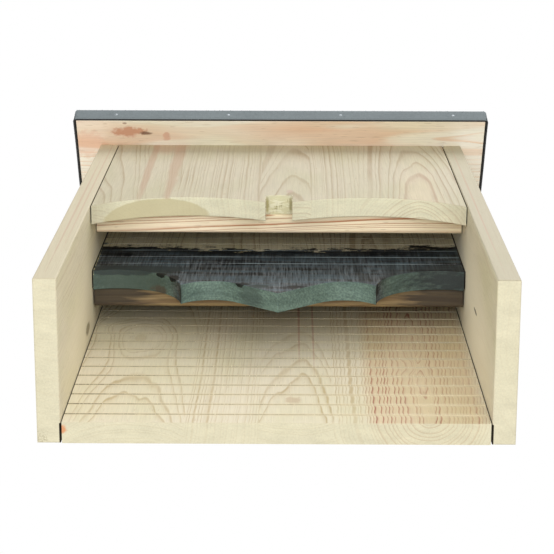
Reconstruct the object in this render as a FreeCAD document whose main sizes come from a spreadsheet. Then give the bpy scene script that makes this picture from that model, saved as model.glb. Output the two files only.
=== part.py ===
import FreeCAD, Part

import os

import Sketcher
from FreeCAD import Rotation, Vector

# A wooden bat roost box for a wall, open at its lower end. Two crevices lie between
# a grooved back panel, a partition and a front panel, under a sloping felted roof.
# Frame: +Z up, X across the box, the wall behind it is the plane Y = 0 and the front
# faces -Y. Z = 0 is the plane of the lower ends of the back panel and the sides.

# Driving dimensions: millimetres, and degrees for the slope.
DIMENSIONS = {
    # carcass
    "outer_width": 384,       # over the outer faces of the two side panels
    "front_height": 545,      # lower ends to the roof's underside, at the front face
    "roof_slope": 29,         # fall of the roof towards the front
    "board_t": 18,            # back, partition, front and both battens
    "side_t": 19,             # side panels
    "side_gap": 1,            # open joint between a board's edge and the side panel
    "edge_round": 1.5,        # eased edges of the side panels
    # crevices
    "rear_entry": 21,         # back panel to the partition's batten
    "front_entry": 26,        # partition to the front panel's batten
    "crossing": 20,           # gap left over the partition, under the roof
    "batten_tall": 44,        # height of both battens
    "batten_round": 3,        # soft lower edges of both battens
    # partition: bat-wing lower edge
    "wing_tip_z": 181,        # the point in the middle
    "wing_flank_x": 41,       # where the straight flank of the point ends
    "wing_flank_z": 216,
    "wing_cusp_x": 88,        # the point between two scallops
    "wing_cusp_z": 207,
    "wing_inner_rise": 9.5,   # crown of the inner scallop
    "wing_outer_rise": 24,    # crown of the outer scallop
    "wing_end_z": 255,        # lower corners of the partition
    "partition_batten_z": 262,
    # front panel: two shallow arches and a square notch between them
    "arch_end_z": 255,        # lower outer corners of the front panel
    "arch_inner_z": 272,      # corners beside the notch
    "arch_rise": 28,
    "notch_wide": 25,
    "notch_top_z": 300,
    "front_batten_z": 298,
    # grip grooves sawn across the back panel and the partition
    "kerf_wide": 2,
    "kerf_deep": 1,
    "kerf_pitch": 25,
    "back_kerf_z": 19,        # lowest groove of the back panel
    "partition_kerf_z": 283,  # lowest groove of the partition
    "kerf_top_margin": 30,    # plain wood left above the highest groove
    # roof
    "roof_t": 15,
    "front_overhang": 29,
    "side_overhang": 24,
    "felt_t": 2,
    "felt_bend": 3,           # outer radius of the felt's folds
    # screws through the side panels and the roof
    "screw_head_rad": 4,
    "screw_head_tall": 2.4,
    "screw_rad": 2,
    "screw_long": 50,
    "screw_inset": 55,        # first and last screw from the end of a joint
    "cross_wide": 1,
    "cross_long": 4.4,
    "cross_deep": 1.4,
    "hole_clear": 0.1,        # round every screw, nail and tack
    # nails through the battens, and tacks in the felt
    "nail_head_rad": 2,
    "nail_rad": 1,
    "nail_long": 30,
    "nail_inset": 40,
    "tack_head_rad": 1.9,
    "tack_head_tall": 1,
    "tack_rad": 0.8,
    "tack_long": 12,
    "tack_inset": 38,         # outermost front tack from the roof board's end
    "tack_shift": 4,          # the front row sits this far to the right
    "side_tack_inset": 30,
    # keyhole plates let into the back panel
    "hanger_x": 110,          # from the middle of the box
    "hanger_z": 555,          # middle of the plate
    "hanger_wide": 20,
    "hanger_tall": 64,
    "hanger_t": 2,
    "hanger_clear": 0.3,
    "hanger_screw_z": 25,     # from the middle of the plate
    "key_rad": 5,             # round entry for the screw's head
    "key_drop": 6,            # its centre, below the middle of the plate
    "key_slot_rad": 2.5,
    "key_slot_top": 9,        # slot's upper centre, above the middle of the plate
    "key_room_wide": 14,
    "key_room_tall": 36,
    "key_room_deep": 9,
    "plate_screw_head_rad": 3.2,
    "plate_screw_head_tall": 1.7,
    "plate_screw_rad": 1.5,
    "plate_screw_long": 14,
}

doc = FreeCAD.newDocument("bat_roost_box")
dims = doc.addObject("Spreadsheet::Sheet", "dims")
for row, (alias, number) in enumerate(DIMENSIONS.items(), start=1):
    dims.set(f"A{row}", alias.replace("_", " "))
    dims.set(f"B{row}", str(number))
    dims.setAlias(f"B{row}", alias)
doc.recompute()

# Sizes worked out from the driving dimensions. A depth is a distance in front of the wall.
HALF_OUTER = "dims.outer_width / 2"
HALF_INNER = "(dims.outer_width / 2 - dims.side_t - dims.side_gap)"
BATTEN_2_DEPTH = "(dims.board_t + dims.rear_entry)"
PARTITION_DEPTH = "(2 * dims.board_t + dims.rear_entry)"
BATTEN_1_DEPTH = "(3 * dims.board_t + dims.rear_entry + dims.front_entry)"
FRONT_DEPTH = "(4 * dims.board_t + dims.rear_entry + dims.front_entry)"
BOX_DEPTH = "(5 * dims.board_t + dims.rear_entry + dims.front_entry)"
HALF_ROOF = "(dims.outer_width / 2 + dims.side_overhang)"
ROOF_LONG = f"(({BOX_DEPTH} + dims.front_overhang) / cos(dims.roof_slope))"

AXES = {"x": Vector(1, 0, 0), "y": Vector(0, 1, 0), "z": Vector(0, 0, 1)}
nodes = []


def number(expression):
    """Today's value of a sheet expression."""
    return float(dims.evalExpression(str(expression).replace("dims.", "")))


def under_roof(depth, drop="0"):
    """Height of the roof's underside at a depth, less a drop."""
    return f"(dims.front_height + ({BOX_DEPTH} - {depth}) * tan(dims.roof_slope) - {drop})"


def roof_spot(along, over):
    """Y and Z of a point given along the roof from its rear edge and over its underside."""
    y = f"(({along}) * cos(dims.roof_slope) - ({over}) * sin(dims.roof_slope))"
    z = f"({under_roof('0')} + ({along}) * sin(dims.roof_slope) + ({over}) * cos(dims.roof_slope))"
    return y, z


def spread(low, high, count):
    """Evenly spaced values from low to high, as expressions."""
    return [f"({low}) + (({high}) - ({low})) * {i} / {count - 1}" for i in range(count)]


def finish_node(item, label):
    """Give a finished sub-part its name and list it for export."""
    item.Label = label
    nodes.append(item)
    return item


# ---------------------------------------------------------------- sketches and features


def origin_plane(body, role):
    """One of the body's own origin planes or axes."""
    return next(item for item in body.Origin.OriginFeatures if item.Role == role)


def new_body(name, x="0", y="0", z="0"):
    """A body whose place follows the sheet."""
    body = doc.addObject("PartDesign::Body", name)
    for axis, expression in zip("xyz", (x, y, z)):
        body.setExpression(f"Placement.Base.{axis}", expression)
    return body


def new_sketch(body, name, role):
    """An empty sketch on one of the body's origin planes."""
    sketch = body.newObject("Sketcher::SketchObject", name)
    sketch.AttachmentSupport = [(origin_plane(body, role), "")]
    sketch.MapMode = "FlatFace"
    return sketch


def tie(sketch, kind, geometry, end, expression, label):
    """Hold one coordinate of a sketch point at a sheet expression."""
    size = number(expression)
    if abs(size) < 1e-9:
        axis = -2 if kind == "DistanceX" else -1
        sketch.addConstraint(Sketcher.Constraint("PointOnObject", geometry, end, axis))
        return
    index = sketch.addConstraint(Sketcher.Constraint(kind, -1, 1, geometry, end, size))
    sketch.renameConstraint(index, label)
    sketch.setExpression(f"Constraints.{label}", expression)


def draw_outline(sketch, corners):
    """Draw a closed outline through corners of (across, up, rise).

    The rise is the crown height of an arc that runs to the next corner, bulging to the
    left of the way there, or None where that edge is straight.
    """
    spots = [Vector(number(across), number(up), 0) for across, up, _ in corners]
    edges = []
    for index, (_, _, rise) in enumerate(corners):
        start, end = spots[index], spots[(index + 1) % len(spots)]
        if rise is None:
            edges.append((sketch.addGeometry(Part.LineSegment(start, end), False), (1, 2)))
            continue
        chord = end - start
        left = Vector(-chord.y, chord.x, 0).normalize()
        crown = (start + end) * 0.5 + left * number(rise)
        geometry = sketch.addGeometry(Part.Arc(start, crown, end), False)
        forward = sketch.getPoint(geometry, 1).distanceToPoint(start) < 1e-6
        edges.append((geometry, (1, 2) if forward else (2, 1)))
    for index, (across, up, rise) in enumerate(corners):
        geometry, ends = edges[index]
        following = (index + 1) % len(corners)
        joint = (geometry, ends[1], edges[following][0], edges[following][1][0])
        sketch.addConstraint(Sketcher.Constraint("Coincident", *joint))
        tie(sketch, "DistanceX", geometry, ends[0], across, f"across_{index}")
        tie(sketch, "DistanceY", geometry, ends[0], up, f"up_{index}")
        if rise is not None:
            next_across, next_up, _ = corners[following]
            bend_arc(sketch, geometry, (across, up), (next_across, next_up), rise, index)


def bend_arc(sketch, geometry, start, end, rise, index):
    """Hold an arc between two tied ends by its radius, or by its centre on a level chord."""
    chord_squared = f"((({end[0]}) - ({start[0]}))^2 + (({end[1]}) - ({start[1]}))^2)"
    radius = f"({chord_squared} / (8 * abs({rise})) + abs({rise}) / 2)"
    if abs(number(end[1]) - number(start[1])) < 1e-9:
        up = sketch.getPoint(geometry, 3).y - number(start[1]) > 0
        offset = f"({radius} - abs({rise}))"
        tie(sketch, "DistanceY", geometry, 3, f"({start[1]}) {'+' if up else '-'} {offset}", f"centre_{index}")
        return
    held = sketch.addConstraint(Sketcher.Constraint("Radius", geometry, number(radius)))
    sketch.renameConstraint(held, f"radius_{index}")
    sketch.setExpression(f"Constraints.radius_{index}", radius)


def rectangle(low_across, high_across, low_up, high_up):
    """Corners of a plain rectangle for draw_outline."""
    return [(low_across, low_up, None), (high_across, low_up, None),
            (high_across, high_up, None), (low_across, high_up, None)]


def extrude(body, kind, name, role, corners, length, side="One side", reverse=False):
    """Pad or pocket an outline by a sheet expression, or right through."""
    sketch = new_sketch(body, f"{name}_sketch", role)
    draw_outline(sketch, corners)
    feature = body.newObject(f"PartDesign::{kind}", name)
    feature.Profile = sketch
    feature.SideType = side
    feature.Reversed = reverse
    if length == "through":
        feature.Type = "ThroughAll"
    else:
        feature.setExpression("Length", length)
    doc.recompute()
    return feature


def removes_wood(body, make_feature):
    """Run a cut and make sure that it took material away."""
    before = body.Shape.Volume
    feature = make_feature()
    if body.Shape.Volume >= before - 1e-3:
        raise RuntimeError(f"{feature.Name} cuts nothing")
    return feature


def round_edges(body, name, wanted, radius):
    """Fillet the edges of the body's tip that the test picks."""
    base = body.Tip
    picked = [f"Edge{i}" for i, edge in enumerate(base.Shape.Edges, start=1) if wanted(edge)]
    fillet = body.newObject("PartDesign::Fillet", name)
    fillet.Base = (base, picked)
    fillet.setExpression("Radius", radius)
    doc.recompute()
    return fillet


# ------------------------------------------------------------------------------ boards


def upright_board(name, depth, corners, top_drop="0"):
    """A board that stands parallel to the wall, its top bevelled to the roof's slope.

    The body's own Y = 0 is the board's rear face, at the given depth.
    """
    body = new_body(name, y=f"-{depth}")
    extrude(body, "Pad", f"{name}_pad", "XZ_Plane", corners, "dims.board_t")
    rear_top = under_roof(depth, top_drop)
    front_top = under_roof(f"({depth} + dims.board_t)", top_drop)
    bevel = [("0", rear_top, None), ("-dims.board_t", front_top, None), ("-dims.board_t", rear_top, None)]
    removes_wood(body, lambda: extrude(body, "Pocket", f"{name}_bevel", "YZ_Plane", bevel,
                                       "through", side="Symmetric"))
    return body


def saw_grip_grooves(body, name, first, top):
    """Saw level grooves across the body's front face, from the first height to the top."""
    groove = rectangle("-dims.board_t", "-dims.board_t + dims.kerf_deep", first, f"{first} + dims.kerf_wide")
    saw = removes_wood(body, lambda: extrude(body, "Pocket", f"{name}_groove", "YZ_Plane", groove,
                                             "through", side="Symmetric"))
    pattern = body.newObject("PartDesign::LinearPattern", f"{name}_grooves")
    pattern.Originals = [saw]
    pattern.Direction = (origin_plane(body, "Z_Axis"), [""])
    pattern.Mode = "Spacing"
    pattern.setExpression("Offset", "dims.kerf_pitch")
    pattern.setExpression("Occurrences", f"floor(({top} - dims.kerf_top_margin - {first}) / dims.kerf_pitch)")
    body.Tip = pattern
    doc.recompute()


def make_back_panel():
    """Grooved back panel, let in behind for the two keyhole plates."""
    corners = rectangle(f"-{HALF_INNER}", HALF_INNER, "0", under_roof("0"))
    body = upright_board("back_panel_blank", "0", corners)
    saw_grip_grooves(body, "back", "dims.back_kerf_z", under_roof("dims.board_t"))
    for label, sign in (("left", -1), ("right", 1)):
        middle = f"({sign} * dims.hanger_x)"
        recess = hanger_outline(middle, "dims.hanger_z", "dims.hanger_clear")
        room = rectangle(f"{middle} - dims.key_room_wide / 2", f"{middle} + dims.key_room_wide / 2",
                         "dims.hanger_z - dims.key_room_tall / 2", "dims.hanger_z + dims.key_room_tall / 2")
        for part, outline, depth in (("recess", recess, "dims.hanger_t"), ("room", room, "dims.key_room_deep")):
            removes_wood(body, lambda: extrude(body, "Pocket", f"{part}_{label}", "XZ_Plane", outline,
                                               depth, reverse=True))
    return body


def make_partition():
    """Partition between the crevices, its lower edge cut to a bat-wing outline."""
    right = [("0", "dims.wing_tip_z", None), ("dims.wing_flank_x", "dims.wing_flank_z", "dims.wing_inner_rise"),
             ("dims.wing_cusp_x", "dims.wing_cusp_z", "dims.wing_outer_rise"),
             (HALF_INNER, "dims.wing_end_z", None)]
    top = under_roof(PARTITION_DEPTH, "dims.crossing")
    left = [(f"-{HALF_INNER}", top, None), (f"-{HALF_INNER}", "dims.wing_end_z", "dims.wing_outer_rise"),
            ("-dims.wing_cusp_x", "dims.wing_cusp_z", "dims.wing_inner_rise"),
            ("-dims.wing_flank_x", "dims.wing_flank_z", None)]
    body = upright_board("partition_blank", PARTITION_DEPTH, right + [(HALF_INNER, top, None)] + left,
                         "dims.crossing")
    saw_grip_grooves(body, "partition", "dims.partition_kerf_z", under_roof(BOX_DEPTH))
    return body


def make_front_panel():
    """Front panel with two arches and a notch between them along its lower edge."""
    top = under_roof(FRONT_DEPTH)
    corners = [("dims.notch_wide / 2", "dims.arch_inner_z", "dims.arch_rise"),
               (HALF_INNER, "dims.arch_end_z", None), (HALF_INNER, top, None),
               (f"-{HALF_INNER}", top, None), (f"-{HALF_INNER}", "dims.arch_end_z", "dims.arch_rise"),
               ("-dims.notch_wide / 2", "dims.arch_inner_z", None),
               ("-dims.notch_wide / 2", "dims.notch_top_z", None),
               ("dims.notch_wide / 2", "dims.notch_top_z", None)]
    return upright_board("front_panel_blank", FRONT_DEPTH, corners)


def make_batten(name, depth, bottom):
    """Batten across a crevice mouth, its two lower edges softened."""
    body = new_body(name, y=f"-{depth}", z=bottom)
    corners = rectangle(f"-{HALF_INNER}", HALF_INNER, "0", "dims.batten_tall")
    extrude(body, "Pad", f"{name}_pad", "XZ_Plane", corners, "dims.board_t")

    def is_lower_long_edge(edge):
        box = edge.BoundBox
        return box.ZMax < 1e-6 and box.XLength > 1

    round_edges(body, f"{name}_soft", is_lower_long_edge, "dims.batten_round")
    return body


def make_side_panel(name, sign):
    """Full-depth side panel with a sloping top and eased front and lower edges."""
    body = new_body(name, x=f"{sign} * ({HALF_OUTER} - dims.side_t / 2)")
    corners = [("0", "0", None), ("0", under_roof("0"), None),
               (f"-{BOX_DEPTH}", under_roof(BOX_DEPTH), None), (f"-{BOX_DEPTH}", "0", None)]
    extrude(body, "Pad", f"{name}_pad", "YZ_Plane", corners, "dims.side_t", side="Symmetric")
    front = -number(BOX_DEPTH)

    def is_eased_edge(edge):
        box = edge.BoundBox
        return box.ZMax < 1e-6 or box.YMax < front + 1e-6 and box.ZMax > 1 and box.XLength < 1e-6

    round_edges(body, f"{name}_eased", is_eased_edge, "dims.edge_round")
    return body


def tilt_with_roof(body):
    """Lay a body made flat at the origin on the slope, its rear edge at the wall."""
    body.Placement.Rotation = Rotation(AXES["x"], 1)
    body.setExpression("Placement.Rotation.Angle", "dims.roof_slope")


def make_roof_board():
    """Roof board, square cut, its rear lower edge on the wall plane."""
    body = new_body("roof_board_blank", z=under_roof("0"))
    corners = rectangle(f"-{HALF_ROOF}", HALF_ROOF, f"-{ROOF_LONG}", "0")
    extrude(body, "Pad", "roof_board_pad", "XY_Plane", corners, "dims.roof_t")
    tilt_with_roof(body)
    return body


def make_roof_felt():
    """Mineral felt over the roof board, folded down its front and both ends."""
    body = new_body("roof_felt_blank", z=under_roof("0"))
    half = f"({HALF_ROOF} + dims.felt_t)"
    corners = rectangle(f"-{half}", half, f"-{ROOF_LONG} - dims.felt_t", "0")
    extrude(body, "Pad", "felt_pad", "XY_Plane", corners, "dims.roof_t + dims.felt_t")
    top = number("dims.roof_t + dims.felt_t")

    def is_fold(edge):
        box = edge.BoundBox
        on_top = box.ZMin > top - 1e-6 and box.YMin < -1e-6
        corner = box.ZLength > 1 and box.YMax < -1e-6
        return on_top or corner

    round_edges(body, "felt_folds", is_fold, "dims.felt_bend")
    board = rectangle(f"-{HALF_ROOF}", HALF_ROOF, f"-{ROOF_LONG}", "0")
    removes_wood(body, lambda: extrude(body, "Pocket", "felt_inside", "XY_Plane", board,
                                       "dims.roof_t", reverse=True))
    tilt_with_roof(body)
    return body


# --------------------------------------------------------------- keyhole plates


def hanger_outline(middle, height, margin):
    """Plate outline with round ends, grown by a margin."""
    half = f"(dims.hanger_wide / 2 + {margin})"
    straight = "(dims.hanger_tall / 2 - dims.hanger_wide / 2)"
    return [(f"{middle} - {half}", f"{height} - {straight}", f"-{half}"),
            (f"{middle} + {half}", f"{height} - {straight}", None),
            (f"{middle} + {half}", f"{height} + {straight}", f"-{half}"),
            (f"{middle} - {half}", f"{height} + {straight}", None)]


def make_hanger(label, sign):
    """Steel keyhole plate, flush with the rear face of the back panel."""
    body = new_body(f"hanger_{label}_blank", x=f"{sign} * dims.hanger_x", z="dims.hanger_z")
    extrude(body, "Pad", f"hanger_{label}_pad", "XZ_Plane", hanger_outline("0", "0", "0"), "dims.hanger_t")
    entry = new_sketch(body, f"key_entry_{label}_sketch", "XZ_Plane")
    drop = number("dims.key_drop")
    circle = entry.addGeometry(Part.Circle(Vector(0, -drop, 0), AXES["z"], number("dims.key_rad")), False)
    tie(entry, "DistanceX", circle, 3, "0", "across")
    tie(entry, "DistanceY", circle, 3, "-dims.key_drop", "up")
    held = entry.addConstraint(Sketcher.Constraint("Radius", circle, number("dims.key_rad")))
    entry.renameConstraint(held, "radius")
    entry.setExpression("Constraints.radius", "dims.key_rad")
    pocket = body.newObject("PartDesign::Pocket", f"key_entry_{label}")
    pocket.Profile = entry
    pocket.SideType = "Symmetric"
    pocket.Type = "ThroughAll"
    slot = [("-dims.key_slot_rad", "-dims.key_drop", None), ("dims.key_slot_rad", "-dims.key_drop", None),
            ("dims.key_slot_rad", "dims.key_slot_top", "-dims.key_slot_rad"),
            ("-dims.key_slot_rad", "dims.key_slot_top", None)]
    removes_wood(body, lambda: extrude(body, "Pocket", f"key_slot_{label}", "XZ_Plane", slot,
                                       "through", side="Symmetric"))
    return body


# ------------------------------------------------------------------ screws, nails, tacks


def turned(name, profile):
    """A body turned about its Z axis from (radius, height) expressions."""
    body = new_body(name)
    sketch = new_sketch(body, f"{name}_sketch", "XZ_Plane")
    draw_outline(sketch, [(radius, height, None) for radius, height in profile])
    turn = body.newObject("PartDesign::Revolution", f"{name}_turn")
    turn.Profile = sketch
    turn.ReferenceAxis = (sketch, ["V_Axis"])
    doc.recompute()
    return body


def make_countersunk(name, head_rad, head_tall, rad, length):
    """A cross-headed wood screw and the hole it needs, both driven along +Z from Z = 0."""
    screw = turned(f"{name}_pattern", [("0", "0"), (head_rad, "0"), (rad, head_tall),
                                       (rad, f"{length} - 2 * {rad}"), ("0", length)])
    arm, reach = "dims.cross_wide / 2", f"dims.cross_long / 2 * {head_rad} / dims.screw_head_rad"
    cross = [(f"-{arm}", f"-{reach}", None), (arm, f"-{reach}", None), (arm, f"-{arm}", None),
             (reach, f"-{arm}", None), (reach, arm, None), (arm, arm, None), (arm, reach, None),
             (f"-{arm}", reach, None), (f"-{arm}", arm, None), (f"-{reach}", arm, None),
             (f"-{reach}", f"-{arm}", None), (f"-{arm}", f"-{arm}", None)]
    removes_wood(screw, lambda: extrude(screw, "Pocket", f"{name}_cross", "XY_Plane", cross,
                                        "dims.cross_deep", reverse=True))
    clear = "dims.hole_clear"
    hole = turned(f"{name}_hole", [("0", f"-{clear}"), (f"{head_rad} + {clear}", f"-{clear}"),
                                   (f"{head_rad} + {clear}", "0"), (f"{rad} + {clear}", f"{head_tall} + {clear}"),
                                   (f"{rad} + {clear}", f"{length} + {clear}"), ("0", f"{length} + {clear}")])
    return screw, hole


def make_flat_headed(name, head_rad, head_low, head_high, rad, length):
    """A nail or tack and its hole, with the head between two heights on the driven line."""
    nail = turned(f"{name}_pattern", [("0", head_low), (head_rad, head_low), (head_rad, head_high),
                                      (rad, head_high), (rad, f"{length} - 2 * {rad}"), ("0", length)])
    clear = "dims.hole_clear"
    hole = turned(f"{name}_hole", [("0", f"{head_low} - {clear}"), (f"{head_rad} + {clear}", f"{head_low} - {clear}"),
                                   (f"{head_rad} + {clear}", head_high), (f"{rad} + {clear}", head_high),
                                   (f"{rad} + {clear}", f"{length} + {clear}"), ("0", f"{length} + {clear}")])
    return nail, hole


def place_copies(pattern, label, spots, axis, angle):
    """One solid of the pattern at each (x, y, z), turned about an axis by an expression."""
    copies = []
    for index, spot in enumerate(spots):
        copy = doc.addObject("App::Link", f"{label}_{index}")
        copy.LinkedObject = pattern
        copy.Placement.Rotation = Rotation(AXES[axis], 1)
        copy.setExpression("Placement.Rotation.Angle", angle)
        for name, expression in zip("xyz", spot):
            copy.setExpression(f"Placement.Base.{name}", expression)
        copies.append(copy)
    group = doc.addObject("Part::Compound", label)
    group.Links = copies
    return group


drilling = {}


def drive(kind, label, spots, axis, angle, through):
    """Place a group of fasteners and note their holes for each board they go through."""
    fastener, hole = kind
    finish_node(place_copies(fastener, f"{label}_group", spots, axis, angle), label)
    holes = place_copies(hole, f"{label}_holes", spots, axis, angle)
    for board in through:
        drilling.setdefault(board, []).append(holes)


def drive_side_screws(screw):
    """Screws through each side panel into the edges of the three upright boards."""
    inset = "dims.screw_inset"
    joints = {
        "back_panel": ("0", spread(inset, under_roof("dims.board_t", inset), 4)),
        "partition": (PARTITION_DEPTH, spread(f"dims.wing_end_z + {inset}",
                                              under_roof(BOX_DEPTH, inset), 3)),
        "front_panel": (FRONT_DEPTH, spread(f"dims.arch_end_z + {inset}",
                                            under_roof(BOX_DEPTH, inset), 3)),
    }
    for board, (depth, heights) in joints.items():
        y = f"-{depth} - dims.board_t / 2"
        for side, sign, angle in (("left", -1, "90"), ("right", 1, "-90")):
            spots = [(f"{sign} * {HALF_OUTER}", y, z) for z in heights]
            drive(screw, f"{board}_screws_{side}", spots, "y", angle, (board, f"side_panel_{side}"))


def drive_roof_screws(screw):
    """Screws down through the roof board into the top edges of the side panels."""
    spots = []
    for sign in (-1, 1):
        for share in spread(f"-{BOX_DEPTH} / cos(dims.roof_slope) + dims.screw_inset / 2",
                            "-dims.screw_inset / 2", 3):
            y, z = roof_spot(share, "dims.roof_t")
            spots.append((f"{sign} * ({HALF_OUTER} - dims.side_t / 2)", y, z))
    drive(screw, "roof_screws", spots, "x", "180 + dims.roof_slope",
          ("roof_board", "side_panel_left", "side_panel_right"))


def drive_batten_nails(nail):
    """Nails through the back of each batten into the board in front of it."""
    across = spread(f"-{HALF_INNER} + dims.nail_inset", f"{HALF_INNER} - dims.nail_inset", 4)
    for board, depth, bottom in (("front", BATTEN_1_DEPTH, "dims.front_batten_z"),
                                 ("partition", BATTEN_2_DEPTH, "dims.partition_batten_z")):
        spots = [(x, f"-{depth}", f"{bottom} + dims.batten_tall / 2") for x in across]
        target = "front_panel" if board == "front" else "partition"
        drive(nail, f"{board}_batten_nails", spots, "x", "90", (f"{board}_batten", target))


def drive_felt_tacks(tack):
    """Tacks through the felt into the roof board's front edge and both ends."""
    middle = "dims.roof_t / 2"
    y, z = roof_spot(f"-{ROOF_LONG} - dims.felt_t", middle)
    across = spread(f"-{HALF_ROOF} + dims.tack_inset + dims.tack_shift",
                    f"{HALF_ROOF} - dims.tack_inset + dims.tack_shift", 4)
    drive(tack, "felt_tacks_front", [(x, y, z) for x in across], "x", "dims.roof_slope - 90",
          ("roof_felt", "roof_board"))
    along = spread(f"-{ROOF_LONG} + dims.side_tack_inset", "-dims.side_tack_inset", 3)
    for side, sign, angle in (("left", -1, "90"), ("right", 1, "-90")):
        spots = [(f"{sign} * ({HALF_ROOF} + dims.felt_t)", *roof_spot(share, middle)) for share in along]
        drive(tack, f"felt_tacks_{side}", spots, "y", angle, ("roof_felt", "roof_board"))


def drive_hanger_screws(screw):
    """Two small screws through each keyhole plate into the back panel."""
    for side, sign in (("left", -1), ("right", 1)):
        spots = [(f"{sign} * dims.hanger_x", "0", f"dims.hanger_z + {end} * dims.hanger_screw_z")
                 for end in (-1, 1)]
        drive(screw, f"hanger_screws_{side}", spots, "x", "90", (f"hanger_{side}", "back_panel"))


def drill(board, blank):
    """Cut a board's fastener holes and name the result."""
    cut = blank
    for index, holes in enumerate(drilling.get(board, [])):
        piece = doc.addObject("Part::Cut", f"{board}_drilled_{index}")
        piece.Base = cut
        piece.Tool = holes
        cut = piece
    return finish_node(cut, board)


def check_and_export():
    """Stop on any failed object, then write every sub-part to its own file."""
    doc.recompute()
    failed = [item.Name for item in doc.Objects if {"Invalid", "Error"} & set(item.State)]
    if failed:
        raise RuntimeError(f"failed objects: {failed}")
    os.makedirs("parts", exist_ok=True)
    for item in nodes:
        if item.Shape.isNull() or not item.Shape.isValid():
            raise RuntimeError(f"{item.Label} has no valid shape")
        item.Shape.exportStep(f"parts/{item.Label}.step")
    print(f"{len(nodes)} sub-parts written")


blanks = {
    "back_panel": make_back_panel(),
    "side_panel_left": make_side_panel("side_panel_left_blank", -1),
    "side_panel_right": make_side_panel("side_panel_right_blank", 1),
    "front_panel": make_front_panel(),
    "front_batten": make_batten("front_batten_blank", BATTEN_1_DEPTH, "dims.front_batten_z"),
    "partition": make_partition(),
    "partition_batten": make_batten("partition_batten_blank", BATTEN_2_DEPTH, "dims.partition_batten_z"),
    "roof_board": make_roof_board(),
    "roof_felt": make_roof_felt(),
    "hanger_left": make_hanger("left", -1),
    "hanger_right": make_hanger("right", 1),
}

wood_screw = make_countersunk("wood_screw", "dims.screw_head_rad", "dims.screw_head_tall",
                              "dims.screw_rad", "dims.screw_long")
plate_screw = make_countersunk("plate_screw", "dims.plate_screw_head_rad", "dims.plate_screw_head_tall",
                               "dims.plate_screw_rad", "dims.plate_screw_long")
batten_nail = make_flat_headed("batten_nail", "dims.nail_head_rad", "0", "dims.nail_rad",
                               "dims.nail_rad", "dims.nail_long")
felt_tack = make_flat_headed("felt_tack", "dims.tack_head_rad", "-dims.tack_head_tall", "0",
                             "dims.tack_rad", "dims.tack_long")

drive_side_screws(wood_screw)
drive_roof_screws(wood_screw)
drive_batten_nails(batten_nail)
drive_felt_tacks(felt_tack)
drive_hanger_screws(plate_screw)
for board_name, board_blank in blanks.items():
    drill(board_name, board_blank)
check_and_export()
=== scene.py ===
"""A wooden bat roost box for a wall, with two crevices open at its lower end.

A grooved back panel, a stained partition and a front panel stand between two side
panels under a felted roof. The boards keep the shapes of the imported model, and get
their eased edges, timber, stain, felt and fixings here. Lengths are metres, except
that timber patterns are set out in millimetres, the unit a joiner reads grain in.
"""

import logging
import math
from dataclasses import dataclass, replace
from enum import Enum
from functools import partial

import bmesh
import bpy
from mathutils import Matrix, Vector, noise


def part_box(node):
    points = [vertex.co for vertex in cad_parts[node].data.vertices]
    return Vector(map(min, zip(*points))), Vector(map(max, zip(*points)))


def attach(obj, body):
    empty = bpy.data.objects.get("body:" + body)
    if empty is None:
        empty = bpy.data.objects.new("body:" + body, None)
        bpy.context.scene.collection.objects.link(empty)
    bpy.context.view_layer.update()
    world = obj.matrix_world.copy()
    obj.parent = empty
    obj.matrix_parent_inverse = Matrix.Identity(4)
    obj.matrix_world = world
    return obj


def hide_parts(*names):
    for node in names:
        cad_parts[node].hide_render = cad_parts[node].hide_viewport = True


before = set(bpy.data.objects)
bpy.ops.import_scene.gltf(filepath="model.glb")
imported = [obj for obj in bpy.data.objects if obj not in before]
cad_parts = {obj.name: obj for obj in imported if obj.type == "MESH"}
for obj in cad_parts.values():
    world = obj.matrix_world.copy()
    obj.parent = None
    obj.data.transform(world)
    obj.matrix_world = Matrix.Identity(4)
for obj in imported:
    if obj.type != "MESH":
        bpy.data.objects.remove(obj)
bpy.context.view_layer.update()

MM = 0.001
ENDLESS = math.inf
# Half the distance between the side panels' inner faces, in millimetres.
INNER_FACE = 173.0
log = logging.getLogger("roost_box")


# --- small tools -------------------------------------------------------------------


def linear(hex_colour: str) -> tuple[float, float, float, float]:
    """Turn an sRGB hex colour into the linear colour that shaders take.

    Args:
        hex_colour: Six hex digits, with or without a leading hash.

    Returns:
        Red, green, blue and an alpha of one.
    """
    digits = hex_colour.lstrip("#")
    parts = [int(digits[i:i + 2], 16) / 255 for i in (0, 2, 4)]
    return (*[c / 12.92 if c <= 0.04045 else ((c + 0.055) / 1.055) ** 2.4 for c in parts], 1.0)


def add_node(tree: bpy.types.NodeTree, kind: str, *values: object,
             **settings: object) -> bpy.types.Node:
    """Add a node to a shader or geometry tree, with its settings, values and links.

    Args:
        tree: The tree to add to.
        kind: The node's type, without "ShaderNode" in front. A second word is its
            operation, or its data type if it has no operation.
        *values: Values, sockets or nodes for its live inputs in their order, or one
            dictionary of them by name. A node stands for its first live output.
        **settings: Attributes of the node, set before its inputs.

    Returns:
        The new node.
    """
    kind, _, mode = kind.partition(" ")
    made = tree.nodes.new(kind if "Node" in kind else "ShaderNode" + kind)
    if mode:
        setattr(made, "operation" if hasattr(made, "operation") else "data_type", mode)
    for name, value in settings.items():
        setattr(made, name, value)
    live = [s for s in made.inputs if s.enabled]
    if values and isinstance(values[0], dict):
        live = [next(s for s in live if s.name == name) for name in values[0]]
        values = values[0].values()
    for socket, value in zip(live, values):
        if isinstance(value, bpy.types.Node):
            value = next(s for s in value.outputs if s.enabled)
        if isinstance(value, bpy.types.NodeSocket):
            tree.links.new(value, socket)
        else:
            socket.default_value = value
    return made


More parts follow.
